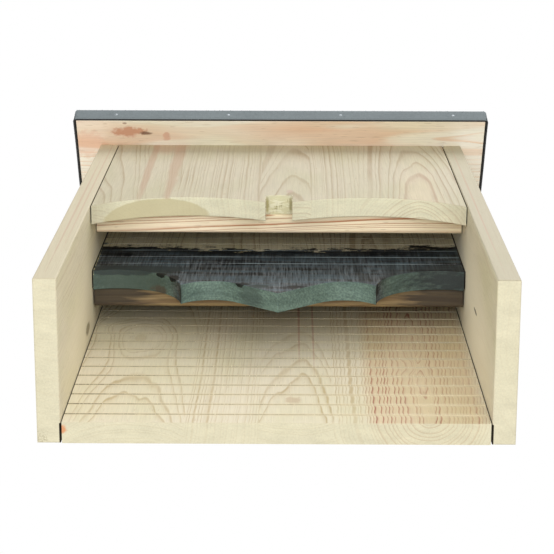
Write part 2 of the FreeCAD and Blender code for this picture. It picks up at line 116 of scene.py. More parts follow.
def new_material(name: str) -> tuple[bpy.types.Material, partial, bpy.types.NodeSocket]:
    """Make an empty node material.

    Args:
        name: The material's name.

    Returns:
        The material, the function that adds its nodes, and the place on the object.
    """
    material = bpy.data.materials.new(name)
    material.use_nodes = True
    material.node_tree.nodes.clear()
    n = partial(add_node, material.node_tree)
    return (material, n, n("TexCoord").outputs["Object"])


def blotches(n: partial, place: bpy.types.Node, size: tuple[float, float, float],
             detail: int, rough: float = 0.5, shift: tuple[float, float, float] = (0, 0, 0)
             ) -> bpy.types.Node:
    """Lay soft random blotches of a given size.

    Args:
        n: Adds a node to the material.
        place: The place to draw them at.
        size: Their size along each axis, ENDLESS where they never change.
        detail: How many times finer blotches are laid over them.
        rough: How strong the finer ones are.
        shift: Moves the pattern, so that two boards differ.

    Returns:
        The pattern, around 0.5.
    """
    fine = tuple(1 / length for length in size)
    return n("TexNoise", n("VectorMath MULTIPLY_ADD", place, fine, shift), 1, detail, rough)


def close_surface(n: partial, colour: bpy.types.Node, rough: float | bpy.types.Node,
                  relief: bpy.types.Node | bpy.types.NodeSocket, strength: float,
                  depth: float, **more: float) -> None:
    """Close a material with its colour and roughness over a fine relief.

    Args:
        n: Adds a node to the material.
        colour: Its colour.
        rough: Its roughness.
        relief: The height of its relief.
        strength: How strongly the relief shows.
        depth: The relief's depth, in metres.
        **more: Other inputs of the surface, with _ for each space.
    """
    bump = n("Bump", {"Height": relief, "Strength": strength, "Distance": depth})
    others = {name.replace("_", " "): value for name, value in more.items()}
    n("OutputMaterial", n("BsdfPrincipled", {"Base Color": colour, "Roughness": rough,
                                             "Normal": bump, **others}))


def geometry_tree(name: str, inputs: dict[str, str]
                  ) -> tuple[bpy.types.NodeTree, partial, bpy.types.NodeOutputs]:
    """Start a geometry tree that takes named inputs and gives one geometry.

    Args:
        name: The tree's name.
        inputs: Each input's name and its kind of socket.

    Returns:
        The tree, the function that adds its nodes, and the sockets of its inputs.
    """
    tree = bpy.data.node_groups.new(name, "GeometryNodeTree")
    for label, kind in inputs.items():
        tree.interface.new_socket(name=label, in_out="INPUT", socket_type="NodeSocket" + kind)
    tree.interface.new_socket(name="Made", in_out="OUTPUT", socket_type="NodeSocketGeometry")
    n = partial(add_node, tree)
    return (tree, n, n("NodeGroupInput").outputs)


def close_tree(n: partial, copies: bpy.types.Node, finish: bpy.types.NodeSocket) -> None:
    """Close a geometry tree: its copies made real and given their finish."""
    real = n("GeometryNodeRealizeInstances", {"Geometry": copies})
    dressed = n("GeometryNodeSetMaterial", {"Geometry": real, "Material": finish})
    n("NodeGroupOutput", dressed)


def grow(host: bpy.types.Object, tree: bpy.types.NodeTree, values: dict[str, object]) -> None:
    """Run a geometry tree on an object and keep the result as its plain mesh.

    Args:
        host: The object that carries the input geometry.
        tree: The geometry tree.
        values: The tree's inputs by name.
    """
    modifier = host.modifiers.new(tree.name, "NODES")
    modifier.node_group = tree
    for item in tree.interface.items_tree:
        if item.item_type == "SOCKET" and item.in_out == "INPUT" and item.name in values:
            modifier[item.identifier] = values[item.name]
    keep_result(host, modifier)


def keep_result(host: bpy.types.Object, modifier: bpy.types.Modifier) -> None:
    """Swap an object's mesh for what its modifier makes of it, and drop the modifier."""
    bpy.context.view_layer.update()
    done = host.evaluated_get(bpy.context.evaluated_depsgraph_get())
    plain = bpy.data.meshes.new_from_object(done)
    host.modifiers.remove(modifier)
    host.data = plain


def stand(name: str, mesh: bpy.types.Mesh) -> bpy.types.Object:
    """Put a mesh in the scene as an object, at the origin."""
    piece = bpy.data.objects.new(name, mesh)
    bpy.context.scene.collection.objects.link(piece)
    return piece


def mesh_piece(name: str, bm: bmesh.types.BMesh, smooth: bool = False) -> bpy.types.Object:
    """Turn finished mesh work into an object of the scene.

    Args:
        name: The piece's name.
        bm: The mesh work, which is freed.
        smooth: Whether its faces are shaded smooth.

    Returns:
        The object, at the origin.
    """
    mesh = bpy.data.meshes.new(name)
    for face in bm.faces:
        face.smooth = smooth
    bm.to_mesh(mesh)
    bm.free()
    return stand(name, mesh)


def settle(piece: bpy.types.Object, slot: str, *nodes: str) -> None:
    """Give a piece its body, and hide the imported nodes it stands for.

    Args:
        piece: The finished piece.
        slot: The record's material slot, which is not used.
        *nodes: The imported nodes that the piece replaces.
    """
    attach(piece, "root")
    if nodes:
        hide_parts(*nodes)
    log.info("%s: %d faces", piece.name, len(piece.data.polygons))


def dress(piece: bpy.types.Object, material: bpy.types.Material) -> None:
    """Put one material over the whole of a piece."""
    piece.data.materials.clear()
    piece.data.materials.append(material)


# --- timber ------------------------------------------------------------------------


class Grain(Enum):
    """The way a board's fibres run, as the turn that brings them to the pattern's Z."""

    UPRIGHT = (0.0, 0.0, 0.0)
    ACROSS = (0.0, math.pi / 2, 0.0)


@dataclass(frozen=True)
class Knot:
    """A knot under the face: a swell that bends the rings. All in millimetres."""

    across: float
    along: float
    push: float
    spread: float


@dataclass(frozen=True)
class Stave:
    """One of the narrow boards that a wide panel is glued from, cut from its own tree.

    From where it starts across the panel, its pith in the panel's cross-section, in
    millimetres, and how far the pith moves in depth for each millimetre up the board.
    """

    start: float
    pith: tuple[float, float]
    tilt: float = 0.0


@dataclass(frozen=True)
class Mark:
    """A resin patch, streak, chip or dark spot: a soft ragged ellipsoid, in millimetres."""

    place: tuple[float, float, float]
    size: tuple[float, float, float]
    colour: str
    strength: float = 0.8
    ragged: float = 0.5
    tear: tuple[float, float, float] = (5.0, 5.0, 5.0)
    soft: float = 0.4


@dataclass(frozen=True)
class Kerfs:
    """Saw grooves across a board's front, darker on the left and raw on the right.

    The first groove's height, the depth of the grooves' floor and the grooves' width and
    pitch, in millimetres. Then the cut wood's colour and strength, how far the fibres
    weave and where across the board they do so fully, how far the colour spills over a
    lip, where the grooves turn raw, and how far round each one the wood is bruised.
    """

    first: float
    floor: float
    wide: float = 2.0
    pitch: float = 25.0
    raw: str = "#e6dabb"
    strength: float = 0.9
    weave: float = 0.55
    weave_full: float = 90
    spill: float = 0.4
    raw_from: float = 15
    raw_full: float = 110
    bruise: float = 6.0
    bruised: str = "#dccfae"


@dataclass(frozen=True)
class Stain:
    """Black water stain, brushed on up to a ragged edge, in millimetres.

    The edge's top, its sag towards the sides, half its width and how far the brush's hairs
    stray. Then how far under the stray edge the stain starts, covers and wears thin, and
    the height below which a cut edge is stained too.
    """

    top: float
    sag: float
    half: float = 172.0
    stray: float = 90.0
    dry: float = 41.0
    wet: float = 46.0
    soaked: float = 84.0
    below: float = 262.0
    deep: str = "#0e1113"
    worn: str = "#7e8386"
    blue: str = "#56656c"
    end: str = "#72897f"
    end_dark: str = "#4c5f59"


@dataclass(frozen=True)
class Pine:
    """Sawn and planed softwood: pale early wood, hard late-wood lines, a pink heart.

    The figure is one body of growth rings, so a face, an edge and an end of a board
    agree with each other. The eye gets cathedral arches on flat-sawn faces, arcs on
    ends, swells over buried knots, and short fibre streaks.
    """

    name: str
    slot: str
    grain: Grain
    staves: tuple[Stave, ...]
    lean: tuple[float, float] = (0.0, 0.0)
    ring: float = 3.6
    early: str = "#d9cfae"
    late: str = "#b9a47c"
    heart: str = "#d9c6a2"
    heart_late: str = "#b0705a"
    heart_reach: float = 30.0
    end: str = "#d9d2b5"
    figure: float = 0.7
    warp: float = 7.0
    knots: tuple[Knot, ...] = ()
    marks: tuple[Mark, ...] = ()
    kerfs: Kerfs | None = None
    stain: Stain | None = None
    # Painted shade for the open joints: on the board's edge, and in bands on a side panel's
    # inner face.
    joint_edge_shade: bool = False
    end_rings: float = 0.12
    joint_shade_bands: tuple[tuple[float, float, float], ...] = ()
    seed: float = 0.0

    def build(self) -> bpy.types.Material:
        """Make the timber's material.

        Returns:
            The finished material.
        """
        material, n, place = new_material(self.name)
        box = n("VectorMath SCALE", place, 1000)
        board = n("Mapping", {"Vector": box, "Rotation": self.grain.value})
        rings, heart = self._growth(n, board)
        colour, height = self._timber(n, board, rings, heart)
        grooves = self._groove_mask(n, box) if self.kerfs else None
        colour = self._ends(n, board, colour, rings, heart, grooves)
        rough = 0.62
        if self.stain:
            colour = self._stained(n, box, colour, rings, grooves)
            rough = 0.55
        elif self.kerfs:
            colour = self._grooved(n, box, colour, grooves)
        for mark in self.marks:
            colour = self._marked(n, box, colour, mark)
        colour = self._joint_shade(n, box, colour)
        close_surface(n, colour, rough, height, 0.35, 0.5 * MM, IOR=1.5,
                      Specular_IOR_Level=0.3)
        return material

    def _growth(self, n: partial, board: bpy.types.Node) -> tuple[bpy.types.Node, ...]:
        """Lay out the growth rings.

        Args:
            n: Adds a node to this material.
            board: The place in the board, in millimetres, grain along Z.

        Returns:
            Late-wood strength from 0 to 1, and the heart's mask.
        """
        if self.kerfs and not self.stain:
            board = self._woven(n, board)
        pith = (*self.staves[0].pith, self.staves[0].tilt)
        if len(self.staves) > 1:
            across = n("SeparateXYZ", board).outputs["X"]
            for stave in self.staves[1:]:
                past = n("Math GREATER_THAN", across, stave.start)
                pith = n("Mix VECTOR", past, pith, (*stave.pith, stave.tilt))
        leant = n("Mapping", {"Vector": board, "Rotation": (self.lean[1], self.lean[0], 0)})
        up = n("SeparateXYZ", board).outputs["Z"]
        tilt = n("SeparateXYZ", pith).outputs["Z"]
        moved = n("CombineXYZ", {"Y": n("Math MULTIPLY", up, tilt)})
        pith = n("VectorMath ADD", pith, moved)
        centred = n("VectorMath SUBTRACT", leant, pith)
        sway = blotches(n, board, (60, 60, 330), 2, 0.45, (self.seed, 0, 0)).outputs["Color"]
        even = n("VectorMath SUBTRACT", sway, (0.5, 0.5, 0.5))
        swayed = n("VectorMath MULTIPLY_ADD", even, (2 * self.warp, 2 * self.warp, 0), centred)
        shiver = blotches(n, board, (9, 9, 60), 1).outputs["Color"]
        wobbled = n("VectorMath MULTIPLY_ADD", shiver, (1.2, 1.2, 0), swayed)
        section = n("VectorMath MULTIPLY", wobbled, (1, 1, 0))
        radius = n("VectorMath LENGTH", section)
        for knot in self.knots:
            off = n("VectorMath SUBTRACT", board, (knot.across, 0, knot.along))
            flat = n("VectorMath MULTIPLY", off, (1, 0, 0.5))
            away = n("VectorMath LENGTH", flat)
            ratio = n("Math DIVIDE", away, knot.spread)
            square = n("Math MULTIPLY", ratio, ratio)
            fall = n("Math MULTIPLY", square, -1.0)
            swell = n("Math EXPONENT", fall)
            radius = n("Math MULTIPLY_ADD", swell, knot.push, radius)
        count = n("Math DIVIDE", radius, self.ring)
        years = n("TexNoise", n("Math MULTIPLY", count, 0.45), 1, 1, noise_dimensions="1D")
        uneven = n("Math MULTIPLY_ADD", years, 2.2, count)
        phase = n("Math FRACT", uneven)
        ramp = n("ValToRGB", {"Fac": phase})
        self._ring_profile(ramp.color_ramp)
        heart = n("MapRange", radius, self.heart_reach + 7, self.heart_reach - 7,
                  interpolation_type="SMOOTHSTEP")
        return ramp, heart

    def _woven(self, n: partial, board: bpy.types.Node) -> bpy.types.Node:
        """Push the fibres to and fro between the saw grooves, as the cuts bruised them.

        Args:
            n: Adds a node to this material.
            board: The place in the board, in millimetres, grain along Z.

        Returns:
            The place with its sideways weave.
        """
        kerfs = self.kerfs
        up = n("SeparateXYZ", board).outputs["Z"]
        turn = n("Math MULTIPLY_ADD", up, math.tau / kerfs.pitch,
                 -math.tau * kerfs.first / kerfs.pitch)
        wave = n("Math SINE", turn)
        much = n("MapRange", n("SeparateXYZ", board).outputs["X"], 0, kerfs.weave_full,
                 0.3 * kerfs.weave, kerfs.weave)
        much = n("Math MULTIPLY", much, self._at_front(n, board))
        aside = n("CombineXYZ", {"X": n("Math MULTIPLY", wave, much)})
        return n("VectorMath ADD", board, aside)

    @staticmethod
    def _ring_profile(ramp: bpy.types.ColorRamp) -> None:
        """Shape one year's growth: a slow rise to the late wood, then a sharp end."""
        steps = ((0.0, 0.0), (0.5, 0.05), (0.74, 0.35), (0.85, 1.0), (0.92, 0.9), (1.0, 0.0))
        while len(ramp.elements) < len(steps):
            ramp.elements.new(0.5)
        for element, (at, depth) in zip(ramp.elements, steps):
            element.position = at
            element.color = (depth, depth, depth, 1)

    def _timber(self, n: partial, board: bpy.types.Node, rings: bpy.types.Node,
                heart: bpy.types.Node) -> tuple[bpy.types.Node, bpy.types.Node]:
        """Colour the bare wood.

        Args:
            n: Adds a node to this material.
            board: The place in the board, in millimetres, grain along Z.
            rings: Late-wood strength.
            heart: Where the heartwood is.

        Returns:
            The colour, and the height for the bump.
        """
        early = n("Mix RGBA", heart, linear(self.early), linear(self.heart))
        late = n("Mix RGBA", heart, linear(self.late), linear(self.heart_late))
        # Late wood is stronger in some years and patches than in others.
        patch = blotches(n, board, (30, 30, 170), 2, shift=(0, self.seed, 0))
        force = n("MapRange", patch, 0.36, 0.64, 0.35 * self.figure, self.figure)
        strength = n("Math MULTIPLY", rings, force)
        wood = n("Mix RGBA", strength, early, late)
        # Fibre bundles are about 0.1 mm wide, too fine to show, so they are drawn at 1 mm.
        fibre = blotches(n, board, (1.2, 1.2, 40), 2, 0.6)
        tone = n("MapRange", fibre, 0.3, 0.7, 0.9, 1.06)
        streaked = n("Mix RGBA", 0.8, wood, tone, blend_type="MULTIPLY")
        # Broad uneven tint, as the green treatment soaked in here more than there.
        cloud = blotches(n, board, (45, 45, 120), 3, shift=(0, 0, self.seed))
        soaked = n("MapRange", cloud, 0.42, 0.7, 0, 0.45)
        green = n("Mix RGBA", 1.0, streaked, linear("#eef3dc"), blend_type="MULTIPLY")
        wood = n("Mix RGBA", soaked, streaked, green)
        # Resin canals: short dark dashes, drawn 1 mm wide for the same reason.
        canals = blotches(n, board, (1.2, 1.2, 12), 0)
        dash = n("MapRange", canals, 0.72, 0.8, 0, 0.3)
        wood = n("Mix RGBA", dash, wood, linear("#a88a66"))
        height = n("Math MULTIPLY_ADD", strength, 0.6, fibre)
        return wood, height

    def _ends(self, n: partial, board: bpy.types.Node, wood: bpy.types.Node,
              rings: bpy.types.Node, heart: bpy.types.Node,
              grooves: bpy.types.Node | None) -> bpy.types.Node:
        """Lay the pale, slightly green and specked look of a sawn end over the faces.

        Args:
            n: Adds a node to this material.
            board: The place in the board, in millimetres, grain along Z.
            wood: The colour so far.
            rings: Late-wood strength, which shows as thin arcs.
            heart: Where the heartwood is, whose arcs are plainest.
            grooves: Where saw grooves are, which aren't ends.

        Returns:
            The colour with its ends.
        """
        axis = (1, 0, 0) if self.grain is Grain.ACROSS else (0, 0, 1)
        is_end = self._facing(n, axis, 0.6, 0.85)
        if grooves:
            open_wood = n("Math SUBTRACT", 1.0, grooves)
            is_end = n("Math MULTIPLY", is_end, open_wood)
        specks = blotches(n, board, (1.6, 1.6, ENDLESS), 3)
        blots = blotches(n, board, (22, 9, ENDLESS), 2)
        tone = n("MapRange", n("Math MULTIPLY_ADD", specks, 0.5,
                               n("Math MULTIPLY", blots, 0.5)), 0.35, 0.65, 1.05, 0.88)
        pale = n("Mix RGBA", 0.86, wood, linear(self.end))
        plain = n("Math MULTIPLY_ADD", heart, 0.3, self.end_rings)
        arcs = n("Math MULTIPLY", rings, plain)
        pale = n("Mix RGBA", arcs, pale, linear("#bfa57f"))
        pale = n("Mix RGBA", 1.0, pale, tone, blend_type="MULTIPLY")
        return n("Mix RGBA", is_end, wood, pale)

    @staticmethod
    def _facing(n: partial, axis: tuple[float, float, float], low: float, high: float
                ) -> bpy.types.Node:
        """Mask the faces that look along an axis, either way.

        Args:
            n: Adds a node to this material.
            axis: The axis.
            low: Cosine at which the mask starts.
            high: Cosine at which it is full.

        Returns:
            The mask.
        """
        normal = n("NewGeometry").outputs["Normal"]
        along = n("VectorMath DOT_PRODUCT", normal, axis)
        size = n("Math ABSOLUTE", along)
        return n("MapRange", size, low, high)

    def _groove_mask(self, n: partial, box: bpy.types.Node) -> bpy.types.Node:
        """Mask the heights that the saw grooves take up.

        Args:
            n: Adds a node to this material.
            box: The place in the box, in millimetres.

        Returns:
            The mask.
        """
        kerfs = self.kerfs
        level = n("SeparateXYZ", box).outputs["Z"]
        over = n("Math SUBTRACT", level, kerfs.first - kerfs.spill)
        turns = n("Math DIVIDE", over, kerfs.pitch)
        phase = n("Math FRACT", turns)
        cut = n("Math LESS_THAN", phase, (kerfs.wide + 2 * kerfs.spill) / kerfs.pitch)
        above = n("Math GREATER_THAN", level, kerfs.first - 1)
        in_rows = n("Math MULTIPLY", cut, above)
        return n("Math MULTIPLY", in_rows, self._at_front(n, box))

    def _at_front(self, n: partial, place: bpy.types.Node) -> bpy.types.Node:
        """Mask the skin of the board that the saw grooves reach.

        Args:
            n: Adds a node to this material.
            place: The place, in millimetres, depth along Y.

        Returns:
            The mask.
        """
        depth = n("SeparateXYZ", place).outputs["Y"]
        return n("Math LESS_THAN", depth, self.kerfs.floor)

    def _grooved(self, n: partial, box: bpy.types.Node, wood: bpy.types.Node,
                 grooves: bpy.types.Node) -> bpy.types.Node:
        """Colour the cut wood of the grooves, patchily, with painted shade higher up.

        Args:
            n: Adds a node to this material.
            box: The place in the box, in millimetres.
            wood: The colour so far.
            grooves: Where the saw grooves are.

        Returns:
            The colour with its grooves.
        """
        kerfs = self.kerfs
        across = n("SeparateXYZ", box).outputs["X"]
        level = n("SeparateXYZ", box).outputs["Z"]
        rows = n("Math PINGPONG", n("Math SUBTRACT", level, kerfs.first + kerfs.wide / 2),
                 kerfs.pitch / 2)
        bruised = n("MapRange", rows, kerfs.bruise, kerfs.wide / 2, 0, 0.62)
        bruised = n("Math MULTIPLY", bruised, self._at_front(n, box))
        wood = n("Mix RGBA", bruised, wood, linear(kerfs.bruised))
        side = n("MapRange", across, kerfs.raw_from, kerfs.raw_full)
        # Painted shade: from 50 to 150 mm above the first groove, the cut wood is painted
        # darker, to match the face shaded by the partition.
        deep = (level, kerfs.first + 50, kerfs.first + 150)
        # The cut is darker towards the left.
        dark_tone = n("MapRange", across, -160, -70, 0.4, 0.72)
        shaded_dark_cut = n("MapRange", *deep, dark_tone, 0.55)
        shaded_raw_cut = n("MapRange", *deep, 0.95, 0.68)
        shaded_dark_cut = n("VectorMath SCALE", wood, shaded_dark_cut)
        shaded_raw_cut = n("VectorMath SCALE", linear(kerfs.raw)[:3], shaded_raw_cut)
        cut = n("Mix RGBA", side, shaded_dark_cut, shaded_raw_cut)
        torn = blotches(n, box, (5, 5, 20), 3)
        much = n("MapRange", torn, 0.35, 0.6, 0.6 * kerfs.strength, kerfs.strength)
        much = n("Math MULTIPLY", much, grooves)
        return n("Mix RGBA", much, wood, cut)

    def _stained(self, n: partial, box: bpy.types.Node, wood: bpy.types.Node,
                 rings: bpy.types.Node, grooves: bpy.types.Node) -> bpy.types.Node:
        """Brush the stain over the lower part, with a dry ragged edge.

        Args:
            n: Adds a node to this material.
            box: The place in the box, in millimetres.
            wood: The bare colour.
            rings: Late-wood strength, which takes the stain differently.
            grooves: Where the saw grooves are, whose lips stay light.

        Returns:
            The stained colour.
        """
        stain = self.stain
        parts = n("SeparateXYZ", box)
        across = n("Math MULTIPLY", parts.outputs["X"], 1 / stain.half)
        bowed = n("Math MULTIPLY_ADD", n("Math MULTIPLY", across, across), stain.sag,
                  stain.top - stain.sag)
        hairs = blotches(n, box, (30, ENDLESS, 14), 5, 0.75)
        edge = n("Math MULTIPLY_ADD", hairs, stain.stray, bowed)
        below = n("Math SUBTRACT", edge, parts.outputs["Z"])
        cover = n("MapRange", below, stain.dry, stain.wet)
        depth = n("MapRange", below, stain.wet, stain.soaked)
        grainy = blotches(n, box, (1.7, 1.7, 30), 3)
        strokes = blotches(n, box, (70, 12, 7), 3)
        wear = n("MapRange", n("Math ADD", grainy, strokes), 0.8, 1.2)
        worn = n("Math MULTIPLY", wear, depth)
        tint = n("Mix RGBA", n("MapRange", strokes, 0.4, 0.6), linear(stain.worn),
                 linear(stain.blue))
        face = n("Mix RGBA", worn, linear(stain.deep), tint)
        lines = n("Math MULTIPLY", rings, 0.45)
        face = n("Mix RGBA", lines, face, linear("#1b2022"))
        lips = n("Math MULTIPLY", grooves, n("MapRange", strokes, 0.42, 0.6, 0.0, 0.5))
        face = n("Mix RGBA", lips, face, linear("#7f8a8a"))
        # Painted shade: the grooves in the bare wood above the stain are darkened, so their lit
        # walls don't show as light lines.
        groove_shade = n("Math MULTIPLY", grooves, 0.55)
        wood = n("Mix RGBA", groove_shade, wood, linear("#3c3527"))
        is_end = self._facing(n, (0, 0, 1), 0.35, 0.7)
        low = n("Math LESS_THAN", parts.outputs["Z"], stain.below)
        is_end = n("Math MULTIPLY", is_end, low)
        dabs = blotches(n, box, (34, 9, 34), 5, 0.7)
        pale = n("MapRange", dabs, 0.3, 0.72)
        sawn = n("Mix RGBA", pale, linear(stain.end_dark), linear(stain.end))
        pores = n("TexNoise", box, 1 / 1.8, 2)
        tone = n("MapRange", pores, 0.3, 0.7, 0.74, 1.3)
        sawn = n("Mix RGBA", 1.0, sawn, tone, blend_type="MULTIPLY")
        sawn = n("Mix RGBA", n("Math MULTIPLY", rings, 0.3), sawn, linear("#3c4c4a"))
        dark = n("Mix RGBA", is_end, face, sawn)
        return n("Mix RGBA", cover, wood, dark)

    def _marked(self, n: partial, box: bpy.types.Node, wood: bpy.types.Node, mark: Mark
                ) -> bpy.types.Node:
        """Lay one mark over the wood.

        Args:
            n: Adds a node to this material.
            box: The place in the box, in millimetres.
            wood: The colour so far.
            mark: The mark.

        Returns:
            The colour with the mark.
        """
        off = n("VectorMath SUBTRACT", box, mark.place)
        scaled = n("VectorMath DIVIDE", off, mark.size)
        away = n("VectorMath LENGTH", scaled)
        torn = n("TexNoise", n("VectorMath DIVIDE", box, mark.tear), 1, 3)
        ragged = n("Math MULTIPLY_ADD", torn, 2 * mark.ragged, away)
        mask = n("MapRange", ragged, 1.0 + mark.ragged, 1.0 - mark.soft + mark.ragged, 0,
                 mark.strength)
        return n("Mix RGBA", mask, wood, linear(mark.colour))

    def _joint_shade(self, n: partial, box: bpy.types.Node, wood: bpy.types.Node
                ) -> bpy.types.Node:
        """Paint shade on what only shows through the open joints, so each gap reads as a dark
        line.

        Args:
            n: Adds a node to this material.
            box: The place in the box, in millimetres.
            wood: The colour so far.

        Returns:
            The colour with dark joints.
        """
        parts = n("SeparateXYZ", box)
        reach = n("Math ABSOLUTE", parts.outputs["X"])
        # Painted shade: a dark brown where the open joints would show only shadow.
        dark_tone = linear("#2a2318")
        for rear, front, lowest in self.joint_shade_bands:
            middle, half = (rear + front) / 2, abs(rear - front) / 2 - 0.3
            off = n("Math SUBTRACT", parts.outputs["Y"], middle)
            inside = n("Math LESS_THAN", n("Math ABSOLUTE", off), half)
            inner = n("Math LESS_THAN", reach, INNER_FACE + 1)
            both = n("Math MULTIPLY", inside, inner)
            above = n("Math GREATER_THAN", parts.outputs["Z"], lowest)
            both = n("Math MULTIPLY", both, above)
            wood = n("Mix RGBA", both, wood, dark_tone)
        # Painted shade on the board's own edge beside the side panel, for the same gap.
        if self.joint_edge_shade:
            edge = n("Math GREATER_THAN", reach, INNER_FACE - 1.3)
            inner = n("Math LESS_THAN", reach, INNER_FACE)
            both = n("Math MULTIPLY", edge, inner)
            wood = n("Mix RGBA", both, wood, dark_tone)
        return wood


# --- felt and metal ----------------------------------------------------------------


@dataclass(frozen=True)
class MineralFelt:
    """Bitumen roofing felt faced with slate granules: matt, speckled blue-grey."""

    name: str = "mineral_felt"
    light: str = "#868f92"
    dark: str = "#747c7f"

    def build(self) -> bpy.types.Material:
        """Make the felt's material."""
        material, n, place = new_material(self.name)
        # Granules are 1 to 1.5 mm across; each takes its own shade.
        cells = n("TexVoronoi", place, 1 / (1.5 * MM))
        shade = n("SeparateColor", {"Color": cells.outputs["Color"]})
        clouds = n("TexNoise", place, 1 / (60 * MM), 3)
        mixed = n("Math MULTIPLY_ADD", clouds, 0.7, n("Math MULTIPLY", shade.outputs[0], 0.3))
        colour = n("Mix RGBA", mixed, linear(self.dark), linear(self.light))
        close_surface(n, colour, 0.85, cells.outputs["Distance"], 0.25, 0.3 * MM,
                      Specular_IOR_Level=0.35)
        return material


@dataclass(frozen=True)
class Bitumen:
    """The black bitumen core that shows where felt is cut: dull, slightly fibrous."""

    name: str = "bitumen_cut_edge"

    def build(self) -> bpy.types.Material:
        """Make the cut edge's material."""
        material, n, place = new_material(self.name)
        grit = n("TexNoise", place, 1 / (2 * MM), 3)
        colour = n("Mix RGBA", grit, linear("#101011"), linear("#2c2c2d"))
        close_surface(n, colour, 0.7, grit, 0.4, 0.3 * MM)
        return material


@dataclass(frozen=True)
class PlatedSteel:
    """Plated or bright steel: crisp small highlights, a faint mottle, fine handling marks."""

    name: str
    slot: str
    base: str
    dull: str
    roughness: float

    def build(self) -> bpy.types.Material:
        """Make the metal's material."""
        material, n, place = new_material(self.name)
        mottle = n("TexNoise", place, 1 / (4 * MM), 4)
        marks = n("TexNoise", place, 1 / (0.7 * MM), 2)
        colour = n("Mix RGBA", mottle, linear(self.base), linear(self.dull))
        rough = n("MapRange", mottle, 0, 1, self.roughness - 0.08, self.roughness + 0.12)
        close_surface(n, colour, rough, marks, 0.15, 0.1 * MM, Metallic=1.0)
        return material


YELLOW_ZINC = PlatedSteel("yellow_zinc_steel", "zinc_screw", "#c9bd93", "#b0a27a", 0.32)


# --- boards ------------------------------------------------------------------------


@dataclass(frozen=True)
class Board:
    """One board of the box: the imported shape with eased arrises, in its own timber."""

    node: str
    finish: Pine | PlatedSteel
    ease: float = 0.6 * MM
    steps: int = 2
    suffix: str = "_timber"
    weld: float = 0.002 * MM
    flat: float = math.radians(0.5)
    shortest: float = 2.4 * MM
    sharp: float = math.radians(40)

    def make(self) -> None:
        """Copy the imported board, ease its long arrises and dress it."""
        bm = bmesh.new()
        bm.from_mesh(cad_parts[self.node].data)
        bmesh.ops.remove_doubles(bm, verts=bm.verts, dist=self.weld)
        bmesh.ops.dissolve_limit(bm, angle_limit=self.flat, verts=bm.verts, edges=bm.edges)
        arrises = [e for e in bm.edges if e.is_manifold and e.calc_length() > self.shortest
                   and e.calc_face_angle() > self.sharp]
        bmesh.ops.bevel(bm, geom=arrises, offset=self.ease, segments=self.steps,
                        profile=0.5, affect="EDGES", clamp_overlap=True)
        piece = mesh_piece(self.node + self.suffix, bm)
        dress(piece, self.finish.build())
        settle(piece, self.finish.slot, self.node)


# Rear and front depth of each board that stands against a side panel, and its foot.
# The side panels' inner faces get painted shade within these bands.
JOINT_SHADE_BANDS = ((0, -17.2, -1), (-57, -75, 257), (-119, -136.2, 257))
BACK_KERFS = Kerfs(19, -16.8)
BLACK = "#060708"


def chip(place: tuple[float, float, float], size: tuple[float, float, float],
         ragged: float) -> Mark:
    """Set out a black chip in a stained edge, torn but with a hard outline."""
    return Mark(place, size, BLACK, 0.95, ragged, (4, 4, 4), 0.15)


def back_panel() -> Board:
    """Cut the back panel: four glued staves, a red heart at the right, saw grooves."""
    return Board("back_panel", Pine(
        "back_pine", "pale_pine", Grain.UPRIGHT,
        (Stave(-400, (-118, 75)), Stave(-74, (-350, -40)), Stave(-14, (14, -110), -0.08),
         Stave(46, (124, -26))), lean=(0.0, 0.04),
        ring=3.4, heart_reach=46, figure=1.0, warp=5, early="#e0d6bd", late="#bfab84",
        heart_late="#9c4a34", kerfs=BACK_KERFS, end_rings=0.1,
        knots=(Knot(-128, 235, -12, 26), Knot(-158, 268, -6, 14),
               Knot(116, 150, 7, 12)),
        marks=(
            Mark((13, -18, 56), (8, 3, 11), "#b29570", 0.5),
            Mark((19, -18, 330), (1.3, 3, 200), "#b0785a", 0.5, 0.2),
            Mark((32, -18, 300), (1.1, 3, 190), "#b0785a", 0.45, 0.2),
            Mark((-171, -12, 2), (4, 4, 8), "#d98a55", 0.8))), ease=0.4 * MM)


def side_panel_left() -> Board:
    """Cut the left side panel, quarter-sawn, with a dark bruise and a knocked foot."""
    return Board("side_panel_left", Pine(
        "left_side_pine", "pale_pine", Grain.UPRIGHT, (Stave(-400, (-120, -330)),),
        lean=(0.03, 0.0), ring=3.4, heart_reach=5, figure=0.4, seed=3.0, early="#e4dabf",
        late="#c9b492", end_rings=0.05, joint_shade_bands=JOINT_SHADE_BANDS,
        marks=(
            Mark((0, -137, 300), (500, 1.2, 900), "#c4b99d", 0.75, 0.0),
            # Painted light: the inner face is lightened over its whole height, to lift the
            # crevices' shade.
            Mark((-INNER_FACE, -40, 560), (1.6, 96, 560), "#fff4d6", 0.8, 0.0),
            Mark((-189, -3, -7), (11, 12, 8), "#857a58", 0.45, 0.8, (1.8, 1.8, 1.8), 0.3),
            Mark((-INNER_FACE, -32, 212), (3, 6.5, 19), "#86754f", 0.75, 0.4),
            Mark((-184, -137, 250), (1.1, 4, 260), "#b98f78", 0.4, 0.3),
            Mark((-179, -137, 350), (0.9, 4, 300), "#bd947c", 0.4, 0.3))), ease=0.4 * MM)


def side_panel_right() -> Board:
    """Cut the right side panel, a little wider in the ring than the left."""
    return Board("side_panel_right", Pine(
        "right_side_pine", "pale_pine", Grain.UPRIGHT, (Stave(-400, (300, -96)),),
        lean=(0.0, 0.03), ring=5.2, heart_reach=5, figure=0.4, seed=5.0, early="#e4dabf",
        late="#c9b492", end_rings=0.05, joint_shade_bands=JOINT_SHADE_BANDS,
        marks=(
            Mark((0, -137, 300), (500, 1.2, 900), "#a9a086", 0.75, 0.0),
            # Painted light: the inner face is lightened over its whole height, to lift the
            # crevices' shade.
            Mark((INNER_FACE, -40, 540), (1.6, 96, 620), "#fff8e0", 0.9, 0.0),
            Mark((INNER_FACE, -65, 160), (3, 2.0, 15), "#5f5136", 0.9, 0.2),
            Mark((181, -137, 300), (1.0, 4, 300), "#b98f78", 0.4, 0.3))), ease=0.4 * MM)


